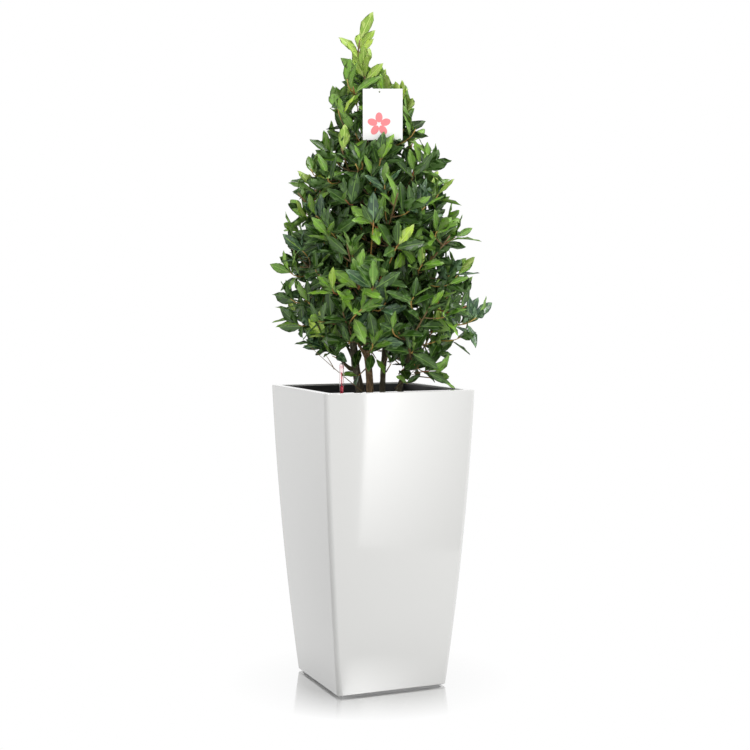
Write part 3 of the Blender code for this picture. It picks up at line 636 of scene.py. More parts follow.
def displace(obj, name, kind, size, strength, mid_level):
    """A modifier that heaves the surface by a texture of this kind and size."""
    texture = bpy.data.textures.new(name, kind)
    texture.noise_scale = size
    heave = obj.modifiers.new(name, "DISPLACE")
    heave.texture = texture
    heave.texture_coords = "LOCAL"
    heave.strength = strength
    heave.mid_level = mid_level
    return heave


def finish_piece(obj, name, materials, replaced=()):
    """Names the piece, bakes its place into its mesh, and hangs it on the frame."""
    activate(obj)
    bpy.ops.object.transform_apply(location=True, rotation=True, scale=True)
    obj.name = name
    obj.data.name = name
    indices = np.zeros(len(obj.data.polygons), np.int32)
    obj.data.polygons.foreach_get("material_index", indices)
    obj.data.materials.clear()
    for material in materials:
        obj.data.materials.append(material)
    obj.data.polygons.foreach_set("material_index", indices)
    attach(obj, "root")
    if replaced:
        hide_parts(*replaced)
    return obj


def dress_node(name, material):
    """Gives a node of the frame that stays its finish."""
    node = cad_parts[name]
    node.data.materials.clear()
    node.data.materials.append(material)


# Materials


def add_node(tree, kind, inputs=None, **settings):
    """Adds a node with its settings, and sets or links its inputs."""
    made = tree.nodes.new(kind)
    for name, value in settings.items():
        setattr(made, name, value)
    for name, value in (inputs or {}).items():
        socket = made.inputs[name]
        if isinstance(value, bpy.types.NodeSocket):
            tree.links.new(value, socket)
        else:
            socket.default_value = value
    return made


def new_material(name, rgb, roughness, **sockets):
    """A material whose shader has this colour and roughness, and its other sockets by name."""
    made = bpy.data.materials.new(name)
    made.use_nodes = True
    shader = made.node_tree.nodes["Principled BSDF"]
    shader.inputs["Base Color"].default_value = (*rgb, 1.0)
    shader.inputs["Roughness"].default_value = roughness
    for socket, value in sockets.items():
        shader.inputs[socket.replace("_", " ")].default_value = value
    made.diffuse_color = (*rgb, 1.0)
    return made, made.node_tree, shader


def lacquer_material(settings):
    """Sprayed two-pack gloss lacquer over plastic: a clear mirror gloss with a trace of orange peel."""
    made, tree, shader = new_material("gloss lacquer", settings.lacquer, settings.lacquer_roughness,
                                      IOR=1.5, Coat_Weight=1.0, Coat_Roughness=0.05)
    place = add_node(tree, "ShaderNodeTexCoord").outputs["Object"]
    # Orange peel waves are 8 mm apart
    peel = add_node(tree, "ShaderNodeTexNoise", {"Vector": place, "Scale": 125.0, "Detail": 1.0})
    bump = add_node(tree, "ShaderNodeBump", {"Height": peel.outputs["Fac"], "Strength": 0.02,
                                             "Distance": 0.0005})
    tree.links.new(bump.outputs["Normal"], shader.inputs["Normal"])
    return made


def moulded_material(name, rgb):
    """Moulded polypropylene: satin, with a fine spark-eroded grain and a bloom of dust."""
    made, tree, shader = new_material("moulded polypropylene " + name, rgb, 0.5, IOR=1.49)
    place = add_node(tree, "ShaderNodeTexCoord").outputs["Object"]
    # Grain pits are 1.2 mm apart, coarser than real ones so that they show
    grain = add_node(tree, "ShaderNodeTexNoise", {"Vector": place, "Scale": 830.0, "Detail": 2.0})
    dust = add_node(tree, "ShaderNodeTexNoise", {"Vector": place, "Scale": 22.0, "Detail": 3.0})
    worn = add_node(tree, "ShaderNodeMapRange", {"Value": dust.outputs["Fac"], "To Min": 0.42,
                                                 "To Max": 0.68})
    bump = add_node(tree, "ShaderNodeBump", {"Height": grain.outputs["Fac"], "Strength": 0.2,
                                             "Distance": 0.0003})
    tree.links.new(worn.outputs["Result"], shader.inputs["Roughness"])
    tree.links.new(bump.outputs["Normal"], shader.inputs["Normal"])
    return made


def mix_material(settings):
    """Moist peat: near black, crumbly, dull."""
    made, tree, shader = new_material("moist potting mix", settings.mix, 0.95)
    place = add_node(tree, "ShaderNodeTexCoord").outputs["Object"]
    # Crumbs are 4 mm across
    crumbs = add_node(tree, "ShaderNodeTexVoronoi", {"Vector": place, "Scale": 250.0})
    pale = [channel * PALE_CRUMBS for channel in settings.mix]
    shade = add_node(tree, "ShaderNodeMix", {"Factor": crumbs.outputs["Distance"],
                                             "A": (*settings.mix, 1.0), "B": (*pale, 1.0)}, data_type="RGBA")
    bump = add_node(tree, "ShaderNodeBump", {"Height": crumbs.outputs["Distance"], "Strength": 0.7,
                                             "Distance": 0.002}, invert=True)
    tree.links.new(shade.outputs["Result"], shader.inputs["Base Color"])
    tree.links.new(bump.outputs["Normal"], shader.inputs["Normal"])
    return made


def bark_material(name, base, patch, fine):
    """Smooth living bark: dull, streaked along the limb, with pale patches and fine corky pores."""
    made, tree, shader = new_material(name, base, 0.8)
    place = add_node(tree, "ShaderNodeTexCoord").outputs["Object"]
    # Patches are about 20 mm tall and 9 mm wide
    long_way = add_node(tree, "ShaderNodeMapping", {"Vector": place, "Scale": (110.0, 110.0, 50.0)})
    patches = add_node(tree, "ShaderNodeTexNoise", {"Vector": long_way.outputs["Vector"], "Scale": fine,
                                                    "Detail": 4.0, "Roughness": 0.6})
    edge = add_node(tree, "ShaderNodeMapRange", {"Value": patches.outputs["Fac"], "From Min": 0.5,
                                                 "From Max": 0.68})
    tint = add_node(tree, "ShaderNodeMix", {"Factor": edge.outputs["Result"], "A": (*base, 1.0),
                                            "B": (*patch, 1.0)}, data_type="RGBA")
    # Streaks run up the limb, 2 mm apart
    streak_way = add_node(tree, "ShaderNodeMapping", {"Vector": place, "Scale": (500.0, 500.0, 45.0)})
    streaks = add_node(tree, "ShaderNodeTexNoise", {"Vector": streak_way.outputs["Vector"], "Scale": 1.0,
                                                    "Detail": 3.0})
    darker = add_node(tree, "ShaderNodeMapRange", {"Value": streaks.outputs["Fac"], "From Min": 0.3,
                                                   "From Max": 0.7, "To Min": 0.55, "To Max": 1.25})
    shaded = add_node(tree, "ShaderNodeVectorMath", {0: tint.outputs["Result"]}, operation="SCALE")
    tree.links.new(darker.outputs["Result"], shaded.inputs["Scale"])
    bump = add_node(tree, "ShaderNodeBump", {"Height": streaks.outputs["Fac"], "Strength": 0.5,
                                             "Distance": 0.001})
    tree.links.new(shaded.outputs["Vector"], shader.inputs["Base Color"])
    tree.links.new(bump.outputs["Normal"], shader.inputs["Normal"])
    return made


# Planter


def planter_half(height):
    """Half the planter's width: a straight taper that swells outward as an arc."""
    share = max(0.0, min(1.0, height / PLANTER_HEIGHT))
    straight = between(PLANTER_BOTTOM, PLANTER_TOP, share) / 2
    return straight + SIDE_BULGE * 4 * share * (1 - share)


def column(name, low, high, half_at, corner, levels=1):
    """A square column with rounded upright corners, its sides drawn in level by level to half_at."""
    bpy.ops.object.select_all(action="DESELECT")
    widest = max(half_at(low), half_at(high))
    bpy.ops.mesh.primitive_cube_add(size=1, location=(0, 0, (low + high) / 2),
                                    scale=(2 * widest, 2 * widest, high - low))
    made = bpy.context.object
    made.name = name
    bpy.ops.object.transform_apply(location=True, rotation=False, scale=True)
    heights = [between(low, high, level / levels) for level in range(levels + 1)]
    with editing():
        select_in_mesh(made, "edges", lambda e: abs(e.verts[0].co.z - e.verts[1].co.z) > (high - low) / 2)
        bpy.ops.mesh.bevel(offset=corner, segments=CORNER_SEGMENTS)
        for height in heights[1:-1]:
            bpy.ops.mesh.select_all(action="SELECT")
            bpy.ops.mesh.bisect(plane_co=(0, 0, height), plane_no=(0, 0, 1))
        for height in heights:
            shift = widest - half_at(height)
            for axis, side in ((0, -1), (0, 1), (1, -1), (1, 1)):
                select_in_mesh(made, "verts",
                               lambda v: abs(v.co.z - height) < SAME_PLACE and v.co[axis] * side > 0)
                move = [0, 0, 0]
                move[axis] = -side * shift
                bpy.ops.transform.translate(value=move)
    return made


def soften_rim(obj, height, half, width):
    """Rounds the edge that runs round the column at this height and half width."""
    def on_edge(vert):
        out = max(abs(vert.co.x), abs(vert.co.y))
        level = abs(vert.co.z - height) < SAME_PLACE
        return level and half - CORNER_RADIUS < out < half + EDGE_SLACK

    activate(obj)
    with editing():
        select_in_mesh(obj, "edges", lambda e: all(on_edge(vert) for vert in e.verts))
        bpy.ops.mesh.bevel(offset=width, segments=EDGE_SEGMENTS)


def hollow(obj, cutters):
    for cutter in cutters:
        cutting = obj.modifiers.new(cutter.name, "BOOLEAN")
        cutting.operation = "DIFFERENCE"
        cutting.object = cutter
    apply_modifiers(obj)
    for cutter in cutters:
        bpy.data.objects.remove(cutter, do_unlink=True)


def make_shell(settings):
    """The planter's shell: a swelling square taper with a flat rim, a ledge in it and a skirt below."""
    shell = column("shell", SKIRT_HEIGHT, PLANTER_HEIGHT, planter_half, CORNER_RADIUS, SIDE_LEVELS)
    soften_rim(shell, PLANTER_HEIGHT, PLANTER_TOP / 2, RIM_EDGE)
    soften_rim(shell, SKIRT_HEIGHT, planter_half(SKIRT_HEIGHT), RIM_EDGE)
    inner = CORNER_RADIUS - WALL
    under_rim = PLANTER_HEIGHT - RIM_DEPTH
    above = PLANTER_HEIGHT + WALL
    ledge = RIM_OPENING / 2 + LEDGE_WIDTH
    hollow(shell, [
        column("cavity", FOOT_HEIGHT + WALL, under_rim, lambda z: planter_half(z) - WALL, inner,
               SIDE_LEVELS),
        column("opening", under_rim - WALL, above, lambda z: RIM_OPENING / 2, inner),
        column("recess", 0.0, FOOT_HEIGHT, lambda z: FOOT_HALF, inner),
        column("ledge", PLANTER_HEIGHT - LEDGE_DEPTH, above, lambda z: ledge, inner),
    ])
    soften_rim(shell, PLANTER_HEIGHT, ledge, LIP_EDGE)
    activate(shell)
    bpy.ops.object.shade_smooth_by_angle(angle=SMOOTH_ANGLE)
    even = shell.modifiers.new("even", "WEIGHTED_NORMAL")
    even.keep_sharp = True
    apply_modifiers(shell)
    return finish_piece(shell, "planter_lacquered_shell", [lacquer_material(settings)],
                        ["planter_shell"])


class BAY_OT_planter(bpy.types.Operator):
    """Models the lacquered shell and gives the foot and the growing insert their plastic"""
    bl_idname = "bay.planter"
    bl_label = "Planter"

    def execute(self, context):
        settings = context.scene.bay_planter
        make_shell(settings)
        dress_node("planter_foot", moulded_material("grey", settings.foot))
        dress_node("growing_insert", moulded_material("black", settings.liner))
        return {"FINISHED"}


# Potting mix


def make_mix_bed(settings):
    """The potting mix: a block that fills the insert, its top heaved into low crumbly mounds."""
    low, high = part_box("potting_mix")
    bpy.ops.object.select_all(action="DESELECT")
    bpy.ops.mesh.primitive_grid_add(x_subdivisions=MIX_GRID, y_subdivisions=MIX_GRID, size=1,
                                    location=(0, 0, SOIL_LEVEL))
    bed = bpy.context.object
    bed.scale = (high.x - low.x, high.y - low.y, 1)
    bpy.ops.object.transform_apply(location=True, rotation=False, scale=True)
    with editing():
        select_in_mesh(bed, "verts", lambda v: max(abs(v.co.x), abs(v.co.y)) < high.x - MIX_EDGE)
    inner = bed.vertex_groups.new(name="inner")
    inner.add([v.index for v in bed.data.vertices if v.select], 1.0, "REPLACE")
    for name, size, depth in MIX_SWELLS:
        displace(bed, name, "CLOUDS", size, depth, mid_level=1.0).vertex_group = "inner"
    apply_modifiers(bed)
    with editing():
        bpy.ops.mesh.extrude_region_move(TRANSFORM_OT_translate={"value": (0, 0, -SOIL_DEPTH)})
        bpy.ops.transform.resize(value=(SOIL_TAPER, SOIL_TAPER, 0.0),
                                 center_override=(0, 0, SOIL_LEVEL - SOIL_DEPTH))
        bpy.ops.mesh.select_all(action="SELECT")
        bpy.ops.mesh.normals_make_consistent(inside=False)
    bpy.ops.object.shade_smooth()
    bed.vertex_groups.clear()
    return finish_piece(bed, "potting_mix_bed", [mix_material(settings)], ["potting_mix"])


def make_chips(bed):
    """Chips of composted bark, each a squashed lump of its own, half sunk in the mix."""
    rng = random.Random("chips")
    lump = lump_arrays()
    surface = BVHTree.FromPolygons([v.co for v in bed.data.vertices],
                                   [tuple(p.vertices) for p in bed.data.polygons])
    placements = []
    half = RIM_OPENING / 2 - CHIPS_FROM_WALL
    for _ in range(CHIP_COUNT):
        x, y = rng.uniform(-half, half), rng.uniform(-half, half)
        size = rng.uniform(*CHIP_SIZE)
        ground = surface.ray_cast(Vector((x, y, SOIL_LEVEL + CHIPS_FALL)), Vector((0, 0, -1)))[0]
        turn = Matrix.Rotation(rng.uniform(0, math.tau), 3, "Z")
        tilt = Matrix.Rotation(rng.uniform(-CHIP_TILT, CHIP_TILT), 3, "X")
        flat = Matrix.Diagonal((size, size * rng.uniform(*CHIP_WIDTH), size * rng.uniform(*CHIP_HEIGHT)))
        # Half of the chips are dark
        placements.append((ground, turn @ tilt @ flat, 0, rng.choice((0, 0, 1, 2))))
    kinds = [new_material("composted bark " + name, colour(code), 0.9)[0]
             for name, code in (("dark", "#33261d"), ("brown", "#4b3626"), ("grey", "#5f5547"))]
    return joined_copies("bark_chips", [lump], placements, kinds)


def lump_arrays():
    bpy.ops.object.select_all(action="DESELECT")
    bpy.ops.mesh.primitive_ico_sphere_add(subdivisions=1, radius=0.5)
    lump = bpy.context.object
    with editing():
        bpy.ops.transform.vertex_random(offset=CHIP_UNEVENNESS, seed=3)
    return take_arrays(lump)


class BAY_OT_mix(bpy.types.Operator):
    """Heaps the potting mix in the insert and strews bark chips over it"""
    bl_idname = "bay.mix"
    bl_label = "Potting mix"

    def execute(self, context):
        make_chips(make_mix_bed(context.scene.bay_planter))
        return {"FINISHED"}


# Copies joined from arrays


def take_arrays(obj):
    """The object's mesh as arrays of points, faces and material numbers, and removes the object."""
    mesh = obj.data
    points = np.zeros(len(mesh.vertices) * 3, np.float32)
    mesh.vertices.foreach_get("co", points)
    faces = [tuple(p.vertices) for p in mesh.polygons]
    kinds = [p.material_index for p in mesh.polygons]
    bpy.data.objects.remove(obj, do_unlink=True)
    bpy.data.meshes.remove(mesh)
    return points.reshape(-1, 3), faces, kinds


def joined_copies(name, models, placements, materials, replaced=()):
    """One mesh of many copies, each with its place, its matrix, its model and its first part's finish."""
    points = []
    corners = []
    totals = []
    kinds = []
    base = 0
    for at, turn, model, blade in placements:
        model_points, faces, model_kinds = models[model]
        points.append(model_points @ np.array(turn, np.float32).T + np.array(at, np.float32))
        for face in faces:
            corners.extend(base + corner for corner in face)
        totals.extend(len(face) for face in faces)
        kinds.extend(kind or blade for kind in model_kinds)
        base += len(model_points)
    mesh = bpy.data.meshes.new(name)
    mesh.vertices.add(base)
    mesh.vertices.foreach_set("co", np.concatenate(points).ravel())
    mesh.loops.add(len(corners))
    mesh.loops.foreach_set("vertex_index", np.array(corners, np.int32))
    mesh.polygons.add(len(totals))
    starts = np.concatenate(([0], np.cumsum(totals)[:-1])).astype(np.int32)
    mesh.polygons.foreach_set("loop_start", starts)
    mesh.polygons.foreach_set("material_index", np.array(kinds, np.int32))
    mesh.polygons.foreach_set("use_smooth", np.ones(len(totals), bool))
    mesh.update(calc_edges=True)
    mesh.validate()
    return finish_piece(place_object(name, mesh), name, materials, replaced)


# Water gauge


def turned(name, profile):
    """A turned piece: its profile of (radius, height) spun about the upright axis, ends closed on it."""
    form = bmesh.new()
    verts = [form.verts.new((radius, 0, height)) for radius, height in profile]
    for first, second in zip(verts, verts[1:]):
        form.edges.new((first, second))
    mesh = bpy.data.meshes.new(name)
    form.to_mesh(mesh)
    form.free()
    made = place_object(name, mesh)
    activate(made)
    with editing():
        bpy.ops.mesh.spin(steps=TURNING_STEPS, angle=math.tau, center=(0, 0, 0), axis=(0, 0, 1))
        bpy.ops.mesh.select_all(action="SELECT")
        bpy.ops.mesh.remove_doubles(threshold=WELD)
        bpy.ops.mesh.normals_make_consistent(inside=False)
    bpy.ops.object.shade_smooth_by_angle(angle=SMOOTH_ANGLE)
    made.location = (*GAUGE_PLACE, 0)
    return made


def dome(radius, top):
    """The quarter circle from the axis at the top out to a tube's side."""
    angles = [i * math.pi / 2 / DOME_STEPS for i in range(DOME_STEPS + 1)]
    return [(radius * math.sin(angle), top - radius * (1 - math.cos(angle))) for angle in angles]


class BAY_OT_gauge(bpy.types.Operator):
    """Turns the clear tube of the water gauge, its red float and the marks at its top"""
    bl_idname = "bay.gauge"
    bl_label = "Water gauge"

    def execute(self, context):
        settings = context.scene.bay_planter
        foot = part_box("gauge_tube")[0].z
        inner = GAUGE_RADIUS - GAUGE_WALL
        outside = dome(GAUGE_RADIUS, GAUGE_TOP) + [(GAUGE_RADIUS, foot)]
        inside = [(inner, foot)] + dome(inner, GAUGE_TOP - GAUGE_WALL)[::-1]
        # Extruded acrylic: clear, with bright edges where it is seen along its wall. The thin wall hardly
        # bends what is behind it, so its IOR is low
        acrylic = new_material("extruded acrylic", colour("#fff4f4"), 0.02, IOR=1.1,
                               Transmission_Weight=1.0)[0]
        finish_piece(turned("gauge_clear_tube", outside + inside), "gauge_clear_tube", [acrylic],
                     ["gauge_tube"])
        # Moulded polystyrene: an even warm red with a soft gloss
        red = new_material("moulded polystyrene", settings.gauge, 0.3, IOR=1.59)[0]
        # Printed marks: thin pink ink
        pink = new_material("pink ink", colour("#e88a98"), 0.4)[0]
        wide = inner - FLOAT_GAP
        rod = dome(INDICATOR_RADIUS, INDICATOR_TOP) + [(INDICATOR_RADIUS, FLOAT_TOP)]
        body = [(wide, FLOAT_TOP - FLOAT_SHOULDER), (wide, foot), (0, foot)]
        finish_piece(turned("gauge_red_float", rod + body), "gauge_red_float", [red],
                     ["gauge_float"])
        for number, height in enumerate(GAUGE_MARKS, 1):
            low, high = height - MARK_HALF, height + MARK_HALF
            proud = GAUGE_RADIUS + MARK_PROUD
            band = [(GAUGE_RADIUS, high), (proud, high), (proud, low), (GAUGE_RADIUS, low),
                    (GAUGE_RADIUS, high)]
            name = f"gauge_mark_{number}"
            finish_piece(turned(name, band), name, [pink])
        return {"FINISHED"}


# Card


class BAY_OT_card(bpy.types.Operator):
    """Gives the gift card its board, prints a blossom on it, and gives the tie its thread"""
    bl_idname = "bay.card"
    bl_label = "Gift card"

    def execute(self, context):
        settings = context.scene.bay_card
        # Uncoated board: bright white and matt, with a faint tooth
        board, tree, shader = new_material("uncoated board", settings.paper, 0.75)
        place = add_node(tree, "ShaderNodeTexCoord").outputs["Object"]
        # Paper fibres are 0.6 mm apart
        tooth = add_node(tree, "ShaderNodeTexNoise", {"Vector": place, "Scale": 1600.0, "Detail": 2.0})
        bump = add_node(tree, "ShaderNodeBump", {"Height": tooth.outputs["Fac"], "Strength": 0.1,
                                                 "Distance": 0.0001})
        tree.links.new(bump.outputs["Normal"], shader.inputs["Normal"])
        dress_node("gift_card", board)
        # Spun cotton: off-white, dull and hairy
        dress_node("card_tie", new_material("cotton thread", colour("#dedad2"), 0.9, Sheen_Weight=0.3)[0])
        make_blossom(settings)
        return {"FINISHED"}


def make_blossom(settings):
    """A plain blossom of five oval petals, as a layer of ink on the front of the card."""
    bpy.ops.object.select_all(action="DESELECT")
    parts = []
    for petal in range(PETALS):
        bpy.ops.mesh.primitive_circle_add(vertices=PETAL_SIDES, radius=BLOSSOM_RADIUS / 2, fill_type="NGON")
        with editing():
            bpy.ops.transform.resize(value=(PETAL_LENGTH, PETAL_WIDTH, 1))
            bpy.ops.transform.translate(value=(BLOSSOM_RADIUS * PETAL_REACH, 0, 0))
            bpy.ops.mesh.extrude_region_move(TRANSFORM_OT_translate={"value": (0, 0, PRINT_THICKNESS)})
            bpy.ops.mesh.select_all(action="SELECT")
            bpy.ops.mesh.normals_make_consistent(inside=False)
        bpy.context.object.rotation_euler.z = math.tau * petal / PETALS + math.pi / 2
        bpy.ops.object.transform_apply(location=False, rotation=True, scale=False)
        parts.append(bpy.context.object)
    bpy.ops.object.select_all(action="DESELECT")
    for part in parts:
        part.select_set(True)
    bpy.context.view_layer.objects.active = parts[0]
    bpy.ops.object.join()
    blossom = bpy.context.object
    bpy.ops.object.transform_apply(location=True, rotation=True, scale=True)
    across, back, up = CARD_MIDDLE
    front = back - CARD_THICKNESS / 2 + PRINT_SUNK
    blossom.rotation_euler = (math.radians(90), 0, PLANT_TURN)
    blossom.location = plant_point(across + BLOSSOM_PLACE[0], front, up + BLOSSOM_PLACE[1])
    # Offset ink: a flat coral pink, a little smoother than the board
    ink = new_material("offset ink", settings.print_colour, 0.55)[0]
    finish_piece(blossom, "card_blossom", [ink])


# Limbs


def limb_from_frame(name, sides):
    """The middle line and the radii of a limb, ring by ring from its root, read from its node's mesh."""
    def ring_width(end):
        return np.linalg.norm(points[end] - points[end].mean(axis=0), axis=1).mean()

    form = bmesh.new()
    form.from_mesh(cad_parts[name].data)
    bmesh.ops.remove_doubles(form, verts=form.verts, dist=SAME_PLACE)
    points = np.array([v.co for v in form.verts])
    middle = points.mean(axis=0)
    along = np.linalg.svd(points - middle)[2][0]
    order = np.argsort((points - middle) @ along)
    form.verts.ensure_lookup_table()
    form.verts.index_update()
    if name in STEMS:
        start = np.argsort(points[:, 2])[:sides]
    else:
        start = max(order[:sides], order[-sides:], key=ring_width)
    # Rings are taken in the order of the mesh, so that sums round the same way in each run
    ring = {int(i) for i in start}
    seen = set()
    line = []
    radii = []
    while ring:
        verts = [form.verts[i] for i in sorted(ring)]
        centre = sum((v.co for v in verts), Vector()) / len(verts)
        line.append(centre)
        radii.append(sum((v.co - centre).length for v in verts) / len(verts))
        seen |= ring
        ring = {e.other_vert(v).index for v in verts for e in v.link_edges} - seen
    form.free()
    return line, radii


class Limb:
    """A limb that other growth leaves from: its line, its radii and its tip."""

    def __init__(self, line, radii):
        self.line = line
        self.radii = radii

    @property
    def tip(self):
        return self.line[-1]

    @property
    def tip_direction(self):
        return (self.line[-1] - self.line[-2]).normalized()


def fine_line(line, radii, step):
    """A smooth line through the points, with a point each step or so, and the radii along it."""
    points = []
    widths = []
    ends = [line[0] * 2 - line[1]] + list(line) + [line[-1] * 2 - line[-2]]
    for index, (a, b, c, d) in enumerate(zip(ends, ends[1:], ends[2:], ends[3:])):
        count = max(1, round((c - b).length / step))
        for share in (i / count for i in range(count)):
            points.append(0.5 * (2 * b + (c - a) * share + (2 * a - 5 * b + 4 * c - d) * share**2
                                 + (3 * b - a - 3 * c + d) * share**3))
            widths.append(between(radii[index], radii[index + 1], share))
    points.append(line[-1])
    widths.append(radii[-1])
    return points, widths


def tubes(name, lines, rounding):
    """A mesh of round tapering tubes, one along each line, with its radii and the number of its finish."""
    curve = bpy.data.curves.new(name, "CURVE")
    curve.dimensions = "3D"
    curve.bevel_depth = 1.0
    curve.bevel_resolution = rounding
    curve.use_fill_caps = True
    for _ in range(1 + max(finish for _, _, finish in lines)):
        curve.materials.append(None)
    for line, radii, finish in lines:
        spline = curve.splines.new("POLY")
        spline.material_index = finish
        spline.points.add(len(line) - 1)
        for point, at, radius in zip(spline.points, line, radii):
            point.co = (*at, 1.0)
            point.radius = radius
    made = place_object(name, curve)
    activate(made)
    bpy.ops.object.convert(target="MESH")
    with editing():
        bpy.ops.mesh.remove_doubles(threshold=WELD)
        bpy.ops.mesh.normals_make_consistent(inside=False)
    bpy.ops.object.shade_smooth()
    return made


def roughen(obj, depth):
    """Gives a limb the bark's slow swellings and its small furrows."""
    for name, kind, size, share in BARK_RELIEF:
        displace(obj, name, kind, size, depth * share, mid_level=0.5)
    apply_modifiers(obj)


def read_limbs():
    stems = {name: Limb(*limb_from_frame(name, STEM_SIDES)) for name in STEMS}
    boughs = {name: Limb(*limb_from_frame(name, BOUGH_SIDES)) for name in sorted(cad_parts)
              if name.startswith("bough_")}
    return stems, boughs


def root_in_stem(bough, stems):
    """The bough's course, begun in the stem that carries it with a collar, and its finish's number."""
    start = bough.line[0]
    places = [(point, name == "stem_leader") for name, stem in stems.items()
              for point in fine_line(stem.line, stem.radii, BOUGH_STEP)[0]]
    nearest, leads = min(places, key=lambda place: (place[0] - start).length)
    back = (nearest - start) * COLLAR_DEPTH
    line = [start + back, start] + bough.line[1:]
    radii = [bough.radii[0] * swell for swell in COLLAR_SWELL] + bough.radii[1:]
    return (*fine_line(line, radii, BOUGH_STEP), int(leads))


class BAY_OT_limbs(bpy.types.Operator):
    """Grows the bark of the stems and of the boughs over the limbs of the frame"""
    bl_idname = "bay.limbs"
    bl_label = "Stems and boughs"

    def execute(self, context):
        settings = context.scene.bay_bark
        stems, boughs = read_limbs()
        courses = []
        for name, stem in stems.items():
            line, radii = fine_line(stem.line, stem.radii, STEM_STEP)
            leads = name == "stem_leader"
            stoutness = LEADER_STOUTNESS if leads else 1.0
            courses.append((line, [radius * stoutness for radius in radii], int(leads)))
        bark = tubes("stem_bark", courses, STEM_ROUNDING)
        roughen(bark, settings.relief)
        dark = bark_material("bay bark, dark", settings.bark, settings.lichen, fine=1.0)
        pale = bark_material("bay bark, pale", settings.leader_bark, settings.leader_patches, fine=1.0)
        finish_piece(bark, "stem_bark", [dark, pale], STEMS)
        courses = [root_in_stem(bough, stems) for bough in boughs.values()]
        bark = tubes("bough_bark", courses, BOUGH_ROUNDING)
        roughen(bark, settings.relief * BOUGH_RELIEF)
        dark = bark_material("young bay bark, dark", settings.young_bark, settings.bark, fine=2.0)
        pale = bark_material("young bay bark, pale", settings.leader_bark, settings.leader_patches, fine=2.0)
        finish_piece(bark, "bough_bark", [dark, pale], list(boughs))
        return {"FINISHED"}


# Crown


def crown_reach(point):
    """How far the crown reaches from its axis at this point's height, on the point's own side."""
    own = to_plant(point)
    left = table_value(CROWN_OUTLINE, own.z, 1)
    right = table_value(CROWN_OUTLINE, own.z, 2)
    flat = math.hypot(own.x, own.y) or 1.0
    return between(left, right, (1 + own.x / flat) / 2)


def crown_point(bearing, share, height):
    """A point at a share of the crown's reach, at a bearing counted from the plant's right."""
    toward = plant_point(math.cos(bearing), math.sin(bearing), 0.0)
    toward.z = height
    return Vector((toward.x, toward.y, 0.0)) * crown_reach(toward) * share + Vector((0, 0, height))


def mass_middles():
    """The middle of each mass, and how many leafy shoots it grows."""
    middles = {}
    shoots = {}
    for tier, height, share, count, first, most in TIERS:
        for index in range(count):
            bearing = math.radians(first) + index * math.tau / count
            lift = MASS_STAGGER * (-1) ** index
            middles[f"{tier}_{index + 1}"] = crown_point(bearing, share, height + lift)
            shoots[f"{tier}_{index + 1}"] = most
    middles["top"] = plant_point(*TOP_MASS)
    shoots["top"] = TOP_SHOOTS
    return middles, shoots


def find_carriers(stems, boughs, middles):
    """What carries each mass: its bough, or the stem whose tip points at it."""
    carriers = {name[len("bough_"):]: bough for name, bough in boughs.items()}
    carriers["top"] = stems["stem_leader"]
    for name in ("stem_left", "stem_right", "stem_low_right"):
        ahead = stems[name].tip + stems[name].tip_direction * BOUGH_RISE
        free = [key for key in middles if key not in carriers]
        carriers[min(free, key=lambda key: (middles[key] - ahead).length)] = stems[name]
    return carriers


class Space:
    """The room that one mass keeps to: nearer its own middle than any other, and within the crown."""

    def __init__(self, key, middles):
        self.middle = middles[key]
        self.others = [at for other, at in middles.items() if other != key]

    def holds(self, point):
        if not LOWEST_LEAF < point.z < CROWN_OUTLINE[-1][0]:
            return False
        if math.hypot(point.x, point.y) > crown_reach(point):
            return False
        for other in self.others:
            apart = other - self.middle
            if (point - (self.middle + other) / 2).dot(apart) / apart.length > -CELL_MARGIN:
                return False
        return True


def main_twig(space, carrier):
    """The line of the mass's own stem: on from the carrier's tip, then up and out through the mass."""
    start = carrier.tip - carrier.tip_direction * TWIG_START
    out = Vector((space.middle.x, space.middle.y, 0.0))
    lean = min(TWIG_LEAN, out.length * LEAN_BY_PLACE)
    rising = (out.normalized() * lean + Vector((0, 0, TWIG_RISE))).normalized()
    near = start + carrier.tip_direction * TWIG_STRAIGHT
    middle = near.lerp(space.middle, TOWARD_MIDDLE)
    length = TWIG_REACH
    while length > LEAST_TWIG and not space.holds(middle + rising * length):
        length -= TWIG_STEP
    length -= TWIG_SHORT_OF_EDGE
    return [start, near, middle, middle + rising * max(LEAST_TWIG, length)]


def along_line(line, share):
    """The point and direction at a share of the line's length."""
    lengths = [(b - a).length for a, b in zip(line, line[1:])]
    left = share * sum(lengths)
    for a, b, length in zip(line, line[1:], lengths):
        if left <= length or b is line[-1]:
            return a.lerp(b, min(1.0, left / length)), (b - a).normalized()
        left -= length


def line_length(line):
    return sum((b - a).length for a, b in zip(line, line[1:]))


def bowed(root, target, aim, steps=5):
    """A shoot's line from its root to its tip, where it points along its aim."""
    bend = target - aim * (target - root).length * SHOOT_BOW
    shares = [i / steps for i in range(steps + 1)]
    return [root * (1 - t) ** 2 + bend * (2 * t * (1 - t)) + target * t**2 for t in shares]


def heading(bearing, rise):
    return Vector((math.cos(bearing) * math.cos(rise), math.sin(bearing) * math.cos(rise), math.sin(rise)))


def shoot_aim(target, rng):
    """A shoot points outward and up: the higher it grows and the deeper inside, the more upright."""
    rise = table_value(SHOOT_RISE, target.z) + rng.gauss(0, RISE_VARIES)
    inside = 1 - min(1.0, math.hypot(target.x, target.y) / crown_reach(target))
    rise = math.radians(min(MOST_RISE, rise + INSIDE_RISE * inside))
    return heading(math.atan2(target.y, target.x) + rng.gauss(0, BEARING_VARIES), rise)


